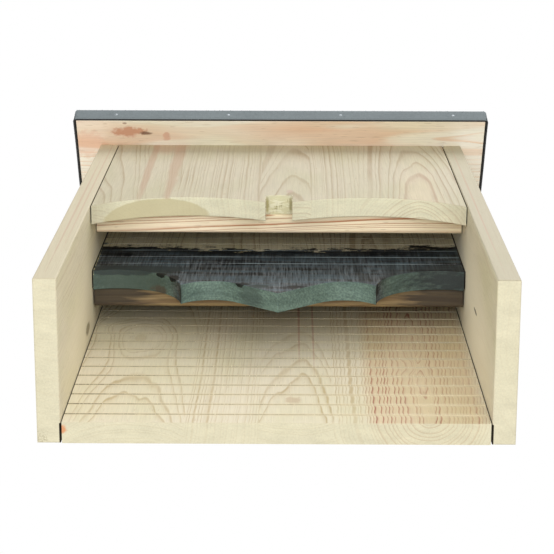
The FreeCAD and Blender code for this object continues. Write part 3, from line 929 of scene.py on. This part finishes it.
def front_panel() -> Board:
    """Cut the front panel: five staves, resin at the upper left, a raw-cut notch."""
    return Board("front_panel", Pine(
        "front_pine", "pale_pine", Grain.UPRIGHT,
        (Stave(-400, (-190, -60)), Stave(-96, (-330, -124)), Stave(-18, (14, -96)),
         Stave(30, (330, -124)), Stave(76, (132, -104))), lean=(0.0, 0.035),
        ring=3.6, heart_reach=44, figure=0.8, seed=7.0, warp=5, early="#c3b99f", late="#a48f70",
        heart="#ccbd9e", heart_late="#a4775e", end="#e9e6cb",
        marks=(
            Mark((-131, -137, 450), (4.5, 5, 230), "#b08c70", 0.55, 0.4, (5, 5, 60)),
            Mark((-105, -137, 470), (6.5, 5, 250), "#b08c70", 0.55, 0.4, (5, 5, 60)),
            Mark((-118, -137, 545), (22, 5, 60), "#c9a288", 0.4, 0.4, (6, 5, 40)),
            Mark((10, -137, 318), (4, 4, 9), "#b99a8a", 0.5, 0.2),
            Mark((-112, -119, 270), (51, 18.5, 60), "#c6bb92", 0.7, 0.04, (5, 5, 5), 0.05),
            Mark((0, -128, 300), (14, 14, 3), "#e2ddb2", 0.7, 0.3),
            Mark((0, -127, 296), (16, 10, 4), "#a0945a", 0.7, 0.9, (1.9, 14, 14), 0.12),
            Mark((0, -127, 296.5), (16, 10, 4), "#f8f5da", 0.7, 0.9, (9, 1.6, 14), 0.12),
            # Painted shadow: olive-dark in the notch's two inner corners.
            Mark((-11, -128, 296), (2.2, 11, 9), "#a89c5c", 0.7, 0.5, (2, 3, 2)),
            Mark((11, -128, 296), (2.2, 11, 9), "#9a8f5c", 0.7, 0.5, (2, 3, 2)))))


def front_batten() -> Board:
    """Cut the pink-brown batten behind the front panel."""
    return Board("front_batten", Pine(
        "front_batten_pine", "pink_pine", Grain.ACROSS, (Stave(-900, (110, -330)),),
        # Painted light: the early colour is paler than the other boards', to lift the front
        # panel's shade on the batten.
        lean=(0.0, 0.03), ring=2.5, early="#ffefd2", late="#b9764c", heart_late="#b9764c",
        figure=1.0, warp=9, heart_reach=5, seed=9.0))


def partition() -> Board:
    """Cut the partition: stained below, with chips and bare spots along its edge."""
    return Board("partition", Pine(
        "partition_pine", "stained_pine", Grain.UPRIGHT,
        (Stave(-400, (-60, -10)), Stave(20, (90, -130))), ring=3.2, figure=0.8, seed=11.0,
        # Painted light: the bare wood's early colour is paler than the other boards', to lift
        # the shade deep in the crevice.
        early="#f0e6c8", kerfs=Kerfs(283, -73.8), stain=Stain(top=352, sag=16),
        joint_edge_shade=True,
        marks=(
            Mark((-136, -66, 252), (52, 16, 30), "#46544d", 0.85, 0.4),
            Mark((-140, -77, 262), (64, 8, 14), "#30393a", 0.85, 0.3, (9, 2, 9), 0.15),
            Mark((-112, -60, 243), (17, 6, 10), "#4f463c", 0.8, 0.6),
            chip((-110, -75, 244), (8, 4, 5), 0.4),
            chip((-96, -75, 231), (7, 4, 9), 0.5),
            Mark((-88.5, -66, 207), (1.6, 10, 7), BLACK, 0.85, 0.2),
            chip((-33, -75, 211), (8, 3.5, 4), 0.5),
            chip((-17, -75, 204.5), (8, 4, 5), 0.35),
            chip((15, -75, 203.5), (8, 4, 4.5), 0.2),
            Mark((-20, -66, 204), (24, 14, 14), "#3d4a48", 0.6, 0.6, (22, 1.8, 22)),
            Mark((-1, -68, 197), (1.5, 10, 9), BLACK, 0.8, 0.2),
            Mark((90, -69, 212), (3.2, 8, 9), BLACK, 0.9, 0.3),
            Mark((-165, -75, 340), (26, 3, 9), BLACK, 0.9, 0.6),
            Mark((-150, -75, 318), (20, 3, 5), BLACK, 0.7, 0.6),
            Mark((-60, -75, 320), (26, 3, 5), BLACK, 0.6, 0.6),
            Mark((150, -75, 346), (24, 3, 6), BLACK, 0.9, 0.6),
            Mark((160, -66, 252), (76, 24, 44), "#2c3234", 0.95, 0.4, (9, 3, 9), 0.7),
            Mark((-172, -72, 300), (1.3, 8, 60), "#d8cf9e", 0.9, 0.9, (2, 2, 4)))),
        ease=0.4 * MM)


def partition_batten() -> Board:
    """Cut the batten behind the partition, with both of its ends stained."""
    ends, streaks = "#2e2a27", (34.0, 3.0, 3.0)
    return Board("partition_batten", Pine(
        "partition_batten_pine", "part_stained_pine", Grain.ACROSS, (Stave(-900, (300, -80)),),
        ring=3.0, early="#a8906a", late="#7d654a", heart="#a8906a", figure=0.8, heart_reach=5,
        seed=13.0, joint_edge_shade=True,
        marks=(
            Mark((-190, -48, 284), (94, 70, 70), ends, 0.85, 0.5, streaks),
            Mark((190, -48, 284), (96, 70, 70), ends, 0.85, 0.5, streaks))))


def roof_board() -> Board:
    """Cut the roof board, with a resin patch at the left of its underside."""
    return Board("roof_board", Pine(
        "roof_pine", "pink_pine", Grain.ACROSS, (Stave(-900, (475, -120)),), lean=(0.015, 0.0),
        ring=4.0, early="#fbf4e4", late="#ecc3a0", heart="#f3e9d2", figure=0.8, warp=11,
        heart_reach=5, seed=15.0,
        marks=(
            Mark((-160, -154, 538), (22, 8, 8), "#cd8c6c", 0.75, 0.7),
            Mark((-205, -140, 548), (22, 22, 22), "#e0a888", 0.4, 0.4),
            Mark((-143, -151, 537), (8, 3, 2.4), "#6e4430", 0.8, 0.4),
            Mark((-165, -163, 531), (3, 1.6, 3), "#8a5a44", 0.6, 0.3),
            Mark((-121, -148, 539), (5, 7, 5), "#d08c6e", 0.45, 0.8))))


def boards() -> tuple[Board, ...]:
    """List the boards, from the back of the box to its roof."""
    return (back_panel(), side_panel_left(), side_panel_right(), front_panel(),
            front_batten(), partition(), partition_batten(), roof_board())


# --- roof felt ---------------------------------------------------------------------


@dataclass(frozen=True)
class RoofFelt:
    """The mineral felt over the roof board, folded down at its front and both ends."""

    slope: float = math.radians(29)
    board: float = 15 * MM
    thick: float = 2 * MM
    bend: float = 3 * MM
    flare: float = 1.0 * MM
    wave: float = 0.5 * MM
    columns: int = 64
    rows: int = 30
    granules: float = 110000.0

    def layout(self) -> tuple[float, float, float]:
        """Read where the roof board lies.

        Returns:
            From its middle to its end, its length down the slope, and the height of its
            underside at the wall.
        """
        low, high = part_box("roof_board")
        long = (-low.y - self.board * math.sin(self.slope)) / math.cos(self.slope)
        return high.x, long, high.z - self.board * math.cos(self.slope)

    def make(self) -> None:
        """Build the sheet, its cut edges and its loose granules."""
        half, long, rise = self.layout()
        face = self._sheet(half, long, rise)
        grains = stand("felt_granules", face.data.copy())
        face.data.materials.append(MineralFelt().build())
        face.data.materials.append(Bitumen().build())
        solid = face.modifiers.new("thickness", "SOLIDIFY")
        solid.thickness, solid.offset = self.thick, -1.0
        solid.material_offset, solid.material_offset_rim = 1, 1
        keep_result(face, solid)
        # The front edge was trimmed along the board and shows no black core from below.
        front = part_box("roof_board")[0].y + self.board * math.sin(self.slope) * 0.5
        for polygon in face.data.polygons:
            if polygon.center.y < front and abs(polygon.center.x) < half - self.bend:
                polygon.material_index = 0
        settle(face, "mineral_felt", "roof_felt")
        slate = MineralFelt("slate_granules", "#a4acae", "#5f676a").build()
        grow(grains, granule_tree(), {"Per square metre": self.granules, "Seed": 4,
                                      "Finish": slate})
        settle(grains, "mineral_felt")

    def _sheet(self, half: float, long: float, rise: float) -> bpy.types.Object:
        """Lay out the felt's outer face.

        Args:
            half: From the middle of the roof board to its end.
            long: The board's length down the slope.
            rise: Height of the board's underside at the wall.

        Returns:
            The sheet, without thickness.
        """
        r, arc = self.bend, self.bend * math.pi / 2
        drop = self.board + self.thick - r
        fold = [arc * i / 5 for i in range(1, 6)] + [arc + drop * i / 4 for i in range(1, 5)]
        flat_x, flat_s = half + self.thick - r, long + self.thick - r
        inner = [flat_x * (2 * i / self.columns - 1) for i in range(self.columns + 1)]
        across = ([(-1, -flat_x, t) for t in reversed(fold)] + [(0, x, 0.0) for x in inner]
                  + [(1, flat_x, t) for t in fold])
        down = ([(flat_s * i / self.rows, 0.0) for i in range(self.rows + 1)]
                + [(flat_s, t) for t in fold])
        bm = bmesh.new()
        grid = [[bm.verts.new(self._spot(side, x, tx, s, ts, rise,
                                         min(flat_x - abs(x), flat_s - s)))
                 for side, x, tx in across] for s, ts in down]
        past = arc + 1e-9
        for j in range(len(down) - 1):
            for i in range(len(across) - 1):
                flap_x = max(across[i][2], across[i + 1][2]) > past
                if flap_x and down[j + 1][1] > past:
                    continue
                bm.faces.new((grid[j][i], grid[j + 1][i], grid[j + 1][i + 1], grid[j][i + 1]))
        loose = [v for v in bm.verts if not v.link_faces]
        bmesh.ops.delete(bm, geom=loose, context="VERTS")
        bmesh.ops.recalc_face_normals(bm, faces=bm.faces)
        top = max(bm.faces, key=lambda f: f.calc_center_median().z)
        if top.normal.z < 0:
            bmesh.ops.reverse_faces(bm, faces=bm.faces)
        return mesh_piece("roof_felt_sheet", bm, smooth=True)

    def _spot(self, side: int, x: float, tx: float, s: float, ts: float, rise: float,
              inside: float) -> Vector:
        """Place one point of the felt's outer face.

        Args:
            side: -1, 0 or 1 for the left fold, the top or the right fold.
            x: The place across the flat top.
            tx: How far past the end fold's start, along the felt.
            s: The place down the flat top.
            ts: How far past the front fold's start, along the felt.
            rise: Height of the board's underside at the wall.
            inside: How far the place is from the folds.

        Returns:
            The point.
        """
        r = self.bend
        a, b = min(tx / r, math.pi / 2), min(ts / r, math.pi / 2)
        lean = Vector((math.sin(a), math.sin(b), math.cos(a) * math.cos(b))).normalized() * r
        over = self.board + self.thick - r + lean.z
        hang = max(tx - r * math.pi / 2, 0) + max(ts - r * math.pi / 2, 0)
        over -= hang
        out = self.flare * (hang / self.board) ** 2
        flap_end = tx > 0 and hang > 0 and tx > ts
        x += side * (lean.x + (out if flap_end else 0))
        s += lean.y + (0 if flap_end else out * 0.2)
        # Ripples are about 70 mm across and 45 mm down the slope, and longer on the folds.
        if not (tx or ts):
            ripple = noise.noise(Vector((x * 14, s * 22, 3.1)))
            over -= self.wave * (0.5 + 0.5 * ripple) * max(min(1.0, inside / (30 * MM)), 0)
        else:
            ripple = noise.noise(Vector((x * 9, s * 16, 8.2)))
            if flap_end:
                x += side * ripple * 0.6 * MM * hang / self.board
        y = -s * math.cos(self.slope) - over * math.sin(self.slope)
        return Vector((x, y, rise - s * math.sin(self.slope) + over * math.cos(self.slope)))


def granule_tree() -> bpy.types.NodeTree:
    """Build the tree that sprinkles slate granules over a face.

    Returns:
        The tree, whose grains are eight-sided and random in size and turn.
    """
    tree, n, given = geometry_tree("sprinkle_granules", {
        "Face": "Geometry", "Per square metre": "Float", "Seed": "Int", "Finish": "Material"})
    spots = n("GeometryNodeDistributePointsOnFaces", {"Mesh": given["Face"],
                                                      "Density": given["Per square metre"],
                                                      "Seed": given["Seed"]})
    grain = n("GeometryNodeMeshUVSphere", {"Segments": 4, "Rings": 2, "Radius": 1.0})
    turn = n("FunctionNodeRandomValue FLOAT_VECTOR", {"Min": (0, 0, 0),
                                                      "Max": (6.28, 6.28, 6.28),
                                                      "Seed": given["Seed"]})
    size = n("FunctionNodeRandomValue FLOAT_VECTOR", {"Min": (0.25 * MM,) * 3,
                                                      "Max": (0.55 * MM,) * 3,
                                                      "Seed": given["Seed"]})
    laid = n("GeometryNodeInstanceOnPoints", {"Points": spots.outputs["Points"],
                                              "Instance": grain.outputs["Mesh"],
                                              "Rotation": turn, "Scale": size})
    close_tree(n, laid, given["Finish"])
    return tree


# --- fixings -----------------------------------------------------------------------


@dataclass(frozen=True)
class Fixing:
    """A turned fixing, head up at the origin and shank down local Z."""

    name: str
    slot: str
    head: float
    rim: float
    dome: float
    neck: float
    shank: float
    long: float
    cross: float = 0.0
    thread: float = 0.0

    def make(self) -> bpy.types.Object:
        """Build the fixing as a closed mesh.

        Returns:
            An object that isn't linked to the scene, for setting out copies.
        """
        around = 20
        bm = bmesh.new()

        def ring(radius: float, height: float) -> list[bmesh.types.BMVert]:
            """Add one ring of the turned profile."""
            return [bm.verts.new((radius * math.cos(math.tau * i / around),
                                  radius * math.sin(math.tau * i / around), height))
                    for i in range(around)]

        def band(upper: list, lower: list) -> None:
            """Join two rings with faces that point outwards."""
            for i in range(around):
                j = (i + 1) % around
                bm.faces.new((upper[i], lower[i], lower[j], upper[j]))

        profile = [(self.head * 0.94, 0.0), (self.head, -self.rim * 0.3),
                   (self.head, -self.rim), (self.shank, -self.neck)]
        if self.thread:
            height = -self.neck - 4 * self.thread
            while height > -self.long + 3 * self.thread:
                profile += [(self.shank * 0.72, height), (self.shank, height - self.thread / 2)]
                height -= self.thread
        profile += [(self.shank * 0.75, -self.long + 2 * self.shank), (0.05 * MM, -self.long)]
        rings = [ring(*spot) for spot in profile]
        for upper, lower in zip(rings, rings[1:]):
            band(upper, lower)
        bm.faces.new(list(reversed(rings[-1])))
        self._close_head(bm, rings[0])
        bmesh.ops.recalc_face_normals(bm, faces=bm.faces)
        mesh = bpy.data.meshes.new(self.name)
        bm.to_mesh(mesh)
        bm.free()
        return bpy.data.objects.new(self.name, mesh)

    def _close_head(self, bm: bmesh.types.BMesh, rim: list[bmesh.types.BMVert]) -> None:
        """Close the head, as a low dome or with a cross recess.

        Args:
            bm: The mesh work.
            rim: The head's uppermost ring.
        """
        count = len(rim)
        if not self.cross:
            upper = [bm.verts.new((v.co.x * 0.6, v.co.y * 0.6, self.dome * 0.8)) for v in rim]
            for i in range(count):
                j = (i + 1) % count
                bm.faces.new((rim[i], rim[j], upper[j], upper[i]))
            top = bm.verts.new((0, 0, self.dome))
            for i in range(count):
                bm.faces.new((upper[i], upper[(i + 1) % count], top))
            return
        reach, half = self.cross / 2, self.cross / 9
        outline = []
        for quarter in range(4):
            turn = Matrix.Rotation(quarter * math.pi / 2, 3, "Z")
            for spot in ((reach, -half), (reach, half), (half * 1.2, half * 1.2)):
                outline.append(turn @ Vector((*spot, 0)))
        mouth = [bm.verts.new(v) for v in outline]
        floor = [bm.verts.new((v.x * 0.45, v.y * 0.45, -self.neck * 0.6)) for v in outline]
        edges = []
        for loop in (rim, mouth):
            for a, b in zip(loop, loop[1:] + loop[:1]):
                edges.append(bm.edges.get((a, b)) or bm.edges.new((a, b)))
        bmesh.ops.triangle_fill(bm, use_beauty=True, use_dissolve=False, edges=edges)
        for i in range(12):
            j = (i + 1) % 12
            bm.faces.new((mouth[i], mouth[j], floor[j], floor[i]))
        bm.faces.new(floor)


@dataclass(frozen=True)
class Setting:
    """One row of fixings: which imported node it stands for, where, and how it is driven."""

    node: str
    fixing: str
    spots: tuple[tuple[float, float, float], ...]
    out: tuple[float, float, float]


def fixing_tree() -> bpy.types.NodeTree:
    """Build the tree that sets a fixing at each point, head outwards, turned at random.

    Returns:
        The tree.
    """
    tree, n, given = geometry_tree("set_fixings", {
        "Spots": "Geometry", "Fixing": "Object", "Out": "Vector", "Seed": "Int",
        "Finish": "Material"})
    body = n("GeometryNodeObjectInfo", {"Object": given["Fixing"]}).outputs["Geometry"]
    driven = n("FunctionNodeAlignRotationToVector", {"Vector": given["Out"]}, axis="Z")
    turn = n("FunctionNodeRandomValue FLOAT", {"Min": 0.0, "Max": math.tau,
                                               "Seed": given["Seed"]})
    spin = n("FunctionNodeAxisAngleToRotation", {"Axis": (0, 0, 1), "Angle": turn})
    laid = n("FunctionNodeRotateRotation", {"Rotation": driven, "Rotate By": spin},
             rotation_space="LOCAL")
    placed = n("GeometryNodeInstanceOnPoints", {"Points": given["Spots"], "Instance": body,
                                                "Rotation": laid})
    close_tree(n, placed, given["Finish"])
    return tree


@dataclass(frozen=True)
class TornFibres:
    """Wisps of wood left standing along the lips of saw cuts.

    The last six sizes say where: short of the board's edges, below the back panel's plain
    top, and on the walls and the head of the front panel's notch.
    """

    every: float = 3.2 * MM
    long: float = 2.6 * MM
    wide: float = 0.28 * MM
    inset: float = 3 * MM
    plain_top: float = 30 * MM
    notch_half: float = 12.5 * MM
    notch_foot: float = 17 * MM
    notch_head: float = 300 * MM
    notch_lines: int = 7

    def tree(self) -> bpy.types.NodeTree:
        """Build the tree that stands wisps along the edges of a wire.

        Returns:
            The tree. A fibre is really 0.05 mm wide, and is drawn at 0.5 mm to show.
        """
        tree, n, given = geometry_tree("stand_fibres", {
            "Lips": "Geometry", "Every": "Float", "Long": "Float", "Wide": "Float",
            "Seed": "Int", "Finish": "Material"})
        curve = n("GeometryNodeMeshToCurve", {"Mesh": given["Lips"]})
        spots = n("GeometryNodeResampleCurve", {"Curve": curve, "Length": given["Every"]},
                  mode="LENGTH")
        points = n("GeometryNodeCurveToPoints", {"Curve": spots}, mode="EVALUATED")
        skip = n("FunctionNodeRandomValue BOOLEAN", {"Probability": 0.45,
                                                     "Seed": given["Seed"]})
        kept = n("GeometryNodeDeleteGeometry", {"Geometry": points.outputs["Points"],
                                                "Selection": skip}, domain="POINT")
        wisp = n("GeometryNodeMeshCone", {"Vertices": 3, "Radius Top": 0.02 * MM,
                                          "Radius Bottom": given["Wide"],
                                          "Depth": given["Long"]})
        turn = n("FunctionNodeRandomValue FLOAT_VECTOR",
                 {"Min": (-0.5, -0.35, 0), "Max": (0.3, 0.35, 6.28), "Seed": given["Seed"]})
        size = n("FunctionNodeRandomValue FLOAT_VECTOR",
                 {"Min": (0.4, 0.4, 0.3), "Max": (1.2, 1.2, 1.3), "Seed": given["Seed"]})
        laid = n("GeometryNodeInstanceOnPoints", {"Points": kept,
                                                  "Instance": wisp.outputs["Mesh"],
                                                  "Rotation": turn, "Scale": size})
        close_tree(n, laid, given["Finish"])
        return tree

    def make(self) -> None:
        """Stand the wisps along the back panel's grooves and in the front's notch."""
        tree = self.tree()
        raw = Pine("raw_fibre", "pale_pine", Grain.UPRIGHT, (Stave(-400, (300, -90)),),
                   early="#efe7cc", late="#d8c8a2", heart_reach=5, figure=0.4).build()
        low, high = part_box("back_panel")
        first, pitch, wide = BACK_KERFS.first, BACK_KERFS.pitch, BACK_KERFS.wide
        rows = range(int(((high.z - self.plain_top) / MM - first) // pitch) + 1)
        lips = [((low.x + self.inset, low.y, (first + pitch * row + up) * MM),
                 (high.x - self.inset, low.y, (first + pitch * row + up) * MM))
                for row in rows for up in (0, wide)]
        self._stand("back_groove_fibres", lips, tree, raw, 1, self.every)
        low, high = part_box("front_panel")
        half, foot, head = self.notch_half, low.z + self.notch_foot, self.notch_head
        walls = []
        for line in range(self.notch_lines):
            depth = low.y + (high.y - low.y) * line / (self.notch_lines - 1)
            for side in (-1, 1):
                walls.append(((side * half, depth, foot), (side * half, depth, head)))
            walls.append(((-half, depth, head), (half, depth, head)))
        self._stand("notch_fibres", walls, tree, raw, 2, self.every * 0.4)

    def _stand(self, name: str, lines: list[tuple], tree: bpy.types.NodeTree,
               finish: bpy.types.Material, seed: int, every: float) -> None:
        """Stand wisps along a set of straight lines.

        Args:
            name: The piece's name.
            lines: Pairs of ends.
            tree: The wisps' tree.
            finish: Their timber.
            seed: The seed of their random sizes.
            every: Their spacing.
        """
        mesh = bpy.data.meshes.new(name)
        mesh.from_pydata([end for line in lines for end in line],
                         [(2 * i, 2 * i + 1) for i in range(len(lines))], [])
        piece = stand(name, mesh)
        grow(piece, tree, {"Every": every, "Long": self.long, "Wide": self.wide,
                           "Seed": seed, "Finish": finish})
        settle(piece, "pale_pine")


@dataclass(frozen=True)
class Fixings:
    """Every screw, nail and tack of the box."""

    proud: float = 0.05 * MM
    side_reach: float = 192 * MM

    def make(self) -> None:
        """Set out all the rows and dress them."""
        kinds = {
            "screw": Fixing("screw", "zinc_screw", 4 * MM, 0.4 * MM, 0, 2.4 * MM, 2 * MM,
                            50 * MM, cross=4.6 * MM, thread=2 * MM),
            "plate_screw": Fixing("plate_screw", "zinc_screw", 3.2 * MM, 0.3 * MM, 0,
                                  1.7 * MM, 1.5 * MM, 14 * MM, cross=3.6 * MM,
                                  thread=1.2 * MM),
            "nail": Fixing("nail", "bright_nail", 2 * MM, 0.6 * MM, 0.15 * MM, 0.8 * MM,
                           1 * MM, 30 * MM),
            "tack": Fixing("tack", "galvanised_tack", 1.9 * MM, 0.4 * MM, 0.5 * MM,
                           0.45 * MM, 0.8 * MM, 12 * MM),
        }
        finishes = {
            "zinc_screw": YELLOW_ZINC.build(),
            "bright_nail": PlatedSteel("bright_wire_steel", "bright_nail", "#b9b9b8",
                                       "#9c9b99", 0.35).build(),
            "galvanised_tack": PlatedSteel("galvanised_steel", "galvanised_tack", "#b4bbbf",
                                           "#9aa1a5", 0.42).build(),
        }
        bodies = {name: kind.make() for name, kind in kinds.items()}
        tree = fixing_tree()
        for seed, row in enumerate(self.rows()):
            spots = bpy.data.meshes.new(row.node)
            spots.from_pydata(row.spots, [], [])
            piece = stand(row.node + "_set", spots)
            kind = kinds[row.fixing]
            grow(piece, tree, {"Fixing": bodies[row.fixing], "Out": row.out, "Seed": seed,
                               "Finish": finishes[kind.slot]})
            settle(piece, kind.slot, row.node)
        for body in bodies.values():
            mesh = body.data
            bpy.data.objects.remove(body)
            bpy.data.meshes.remove(mesh)

    def rows(self) -> list[Setting]:
        """List the rows of fixings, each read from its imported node's box.

        Returns:
            The rows.
        """
        rows = []
        heights = {"back_panel": (55, 222, 389, 556), "partition": (310, 400, 490),
                   "front_panel": (310, 400, 490)}
        for board, levels in heights.items():
            low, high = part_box(board + "_screws_left")
            depth = (low.y + high.y) / 2
            for side, sign in (("left", -1), ("right", 1)):
                spots = tuple((sign * (self.side_reach + self.proud), depth, z * MM)
                              for z in levels)
                rows.append(Setting(f"{board}_screws_{side}", "screw", spots, (sign, 0, 0)))
        rows += self._tack_rows()
        for board, level in (("front", 320), ("partition", 284)):
            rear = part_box(board + "_batten")[1].y
            spots = tuple((x * MM, rear + self.proud, level * MM)
                          for x in (-132, -44, 44, 132))
            rows.append(Setting(board + "_batten_nails", "nail", spots, (0, 1, 0)))
        for side, sign in (("left", -1), ("right", 1)):
            spots = tuple((sign * 110 * MM, self.proud, z * MM) for z in (530, 580))
            rows.append(Setting(f"hanger_screws_{side}", "plate_screw", spots, (0, 1, 0)))
        return rows

    def _tack_rows(self) -> list[Setting]:
        """List the felt's tacks, in the middle of the roof board's front and ends.

        Returns:
            The front row and the two end rows.
        """
        felt = RoofFelt()
        half, long, rise = felt.layout()
        sine, cosine = math.sin(felt.slope), math.cos(felt.slope)
        middle = felt.board / 2

        def spot(x: float, s: float) -> tuple[float, float, float]:
            """Place a tack at a distance down the slope."""
            return (x, -s * cosine - middle * sine, rise - s * sine + middle * cosine)

        front = tuple(spot(x * MM, long + felt.thick) for x in (-174, -55.3, 63.3, 182))
        rows = [Setting("felt_tacks_front", "tack", front, (0, -cosine, -sine))]
        for side, sign in (("left", -1), ("right", 1)):
            ends = tuple(spot(sign * (half + felt.thick), s * MM)
                         for s in (159.8, 94.9, 30))
            rows.append(Setting(f"felt_tacks_{side}", "tack", ends, (sign, 0, 0)))
        return rows


# --- studio ------------------------------------------------------------------------


@dataclass(frozen=True)
class Studio:
    """A pale floor, a white surround, soft lights and the camera under the box."""

    eye: tuple[float, float, float] = (0.0098, -0.5168, -1.3972)
    tilt: tuple[float, float, float] = (0.26416, 0.00658, 0.00409)
    lens: float = 120.2
    floor_level: float = -2.8

    def make(self) -> None:
        """Set up everything that isn't part of the box."""
        scene = bpy.context.scene
        scene.view_settings.view_transform = "Standard"
        scene.view_settings.look = "None"
        self._surround(scene)
        self._floor()
        self._softbox("key_softbox", (0.8, -1.6, -1.7), 1.3, 10)
        self._softbox("fill_softbox", (-0.9, -1.1, -1.8), 1.3, 5)
        self._softbox("low_softbox", (0.0, -0.62, -1.6), 0.5, 11)
        self._softbox("top_softbox", (0.6, -1.6, 2.2), 1.8, 40)
        self._softbox("rear_softbox", (-1.6, 1.9, 1.4), 1.8, 30)
        self._camera(scene)

    def _surround(self, scene: bpy.types.Scene) -> None:
        """Fill the surround with even white, dimmer as a light than as a backdrop."""
        world = bpy.data.worlds.new("white_surround")
        scene.world = world
        world.use_nodes = True
        world.node_tree.nodes.clear()
        n = partial(add_node, world.node_tree)
        seen = n("LightPath").outputs["Is Camera Ray"]
        power = n("MapRange", seen, 0, 1, 0.64, 1.0)
        shade = n("Background", {"Color": linear("#ffffff"), "Strength": power})
        n("OutputWorld", {"Surface": shade})

    def _floor(self) -> None:
        """Lay a plain pale floor well below the box."""
        bm = bmesh.new()
        half = 9.0
        corners = [bm.verts.new((x * half, y * half, self.floor_level))
                   for x, y in ((-1, -1), (1, -1), (1, 1), (-1, 1))]
        bm.faces.new(corners)
        floor = mesh_piece("studio_floor", bm)
        material, n, place = new_material("pale_painted_floor")
        cloud = n("TexNoise", place, 3.0, 3)
        colour = n("Mix RGBA", cloud, linear("#eeeeec"), linear("#f6f6f4"))
        n("OutputMaterial", n("BsdfPrincipled", {"Base Color": colour, "Roughness": 0.8}))
        dress(floor, material)

    def _softbox(self, name: str, spot: tuple[float, float, float], size: float,
                 watts: float) -> None:
        """Hang a square soft light that faces the middle of the box.

        Args:
            name: The light's name.
            spot: Its place.
            size: Its side.
            watts: Its power.
        """
        light = bpy.data.lights.new(name, "AREA")
        light.shape = "SQUARE"
        light.size = size
        light.energy = watts
        holder = bpy.data.objects.new(name, light)
        holder.location = spot
        aim = Vector((0, -0.07, 0.3)) - Vector(spot)
        holder.rotation_euler = aim.to_track_quat("-Z", "Y").to_euler()
        holder.visible_camera = False
        bpy.context.scene.collection.objects.link(holder)

    def _camera(self, scene: bpy.types.Scene) -> None:
        """Stand the camera in front of the open end, looking up into the crevices."""
        lens = bpy.data.cameras.new("camera")
        lens.lens = self.lens
        lens.sensor_width = 36
        lens.clip_start, lens.clip_end = 0.05, 60
        camera = bpy.data.objects.new("camera", lens)
        turn = (Matrix.Rotation(self.tilt[2], 3, "Z") @ Matrix.Rotation(self.tilt[1], 3, "Y")
                @ Matrix.Rotation(self.tilt[0], 3, "X")).transposed()
        face_up = Matrix.Diagonal((1, -1, -1))
        camera.matrix_world = Matrix.Translation(self.eye) @ (turn @ face_up).to_4x4()
        scene.collection.objects.link(camera)
        scene.camera = camera


def main() -> None:
    """Build the box, piece by piece, in the order it goes together."""
    logging.basicConfig(level=logging.INFO, format="%(name)s %(message)s")
    Studio().make()
    for board in boards():
        board.make()
    RoofFelt().make()
    plate = PlatedSteel("zinc_plated_steel", "zinc_plate", "#b9bcbd", "#a3a5a4", 0.34)
    for side in ("left", "right"):
        Board("hanger_" + side, plate, ease=0.3 * MM, suffix="_plate").make()
    # The roof screws sit under the felt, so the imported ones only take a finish.
    dress(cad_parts["roof_screws"],
          replace(YELLOW_ZINC, name="yellow_zinc_roof_screw").build())
    Fixings().make()
    TornFibres().make()


if __name__ == "__main__":
    main()
    bpy.context.view_layer.update()
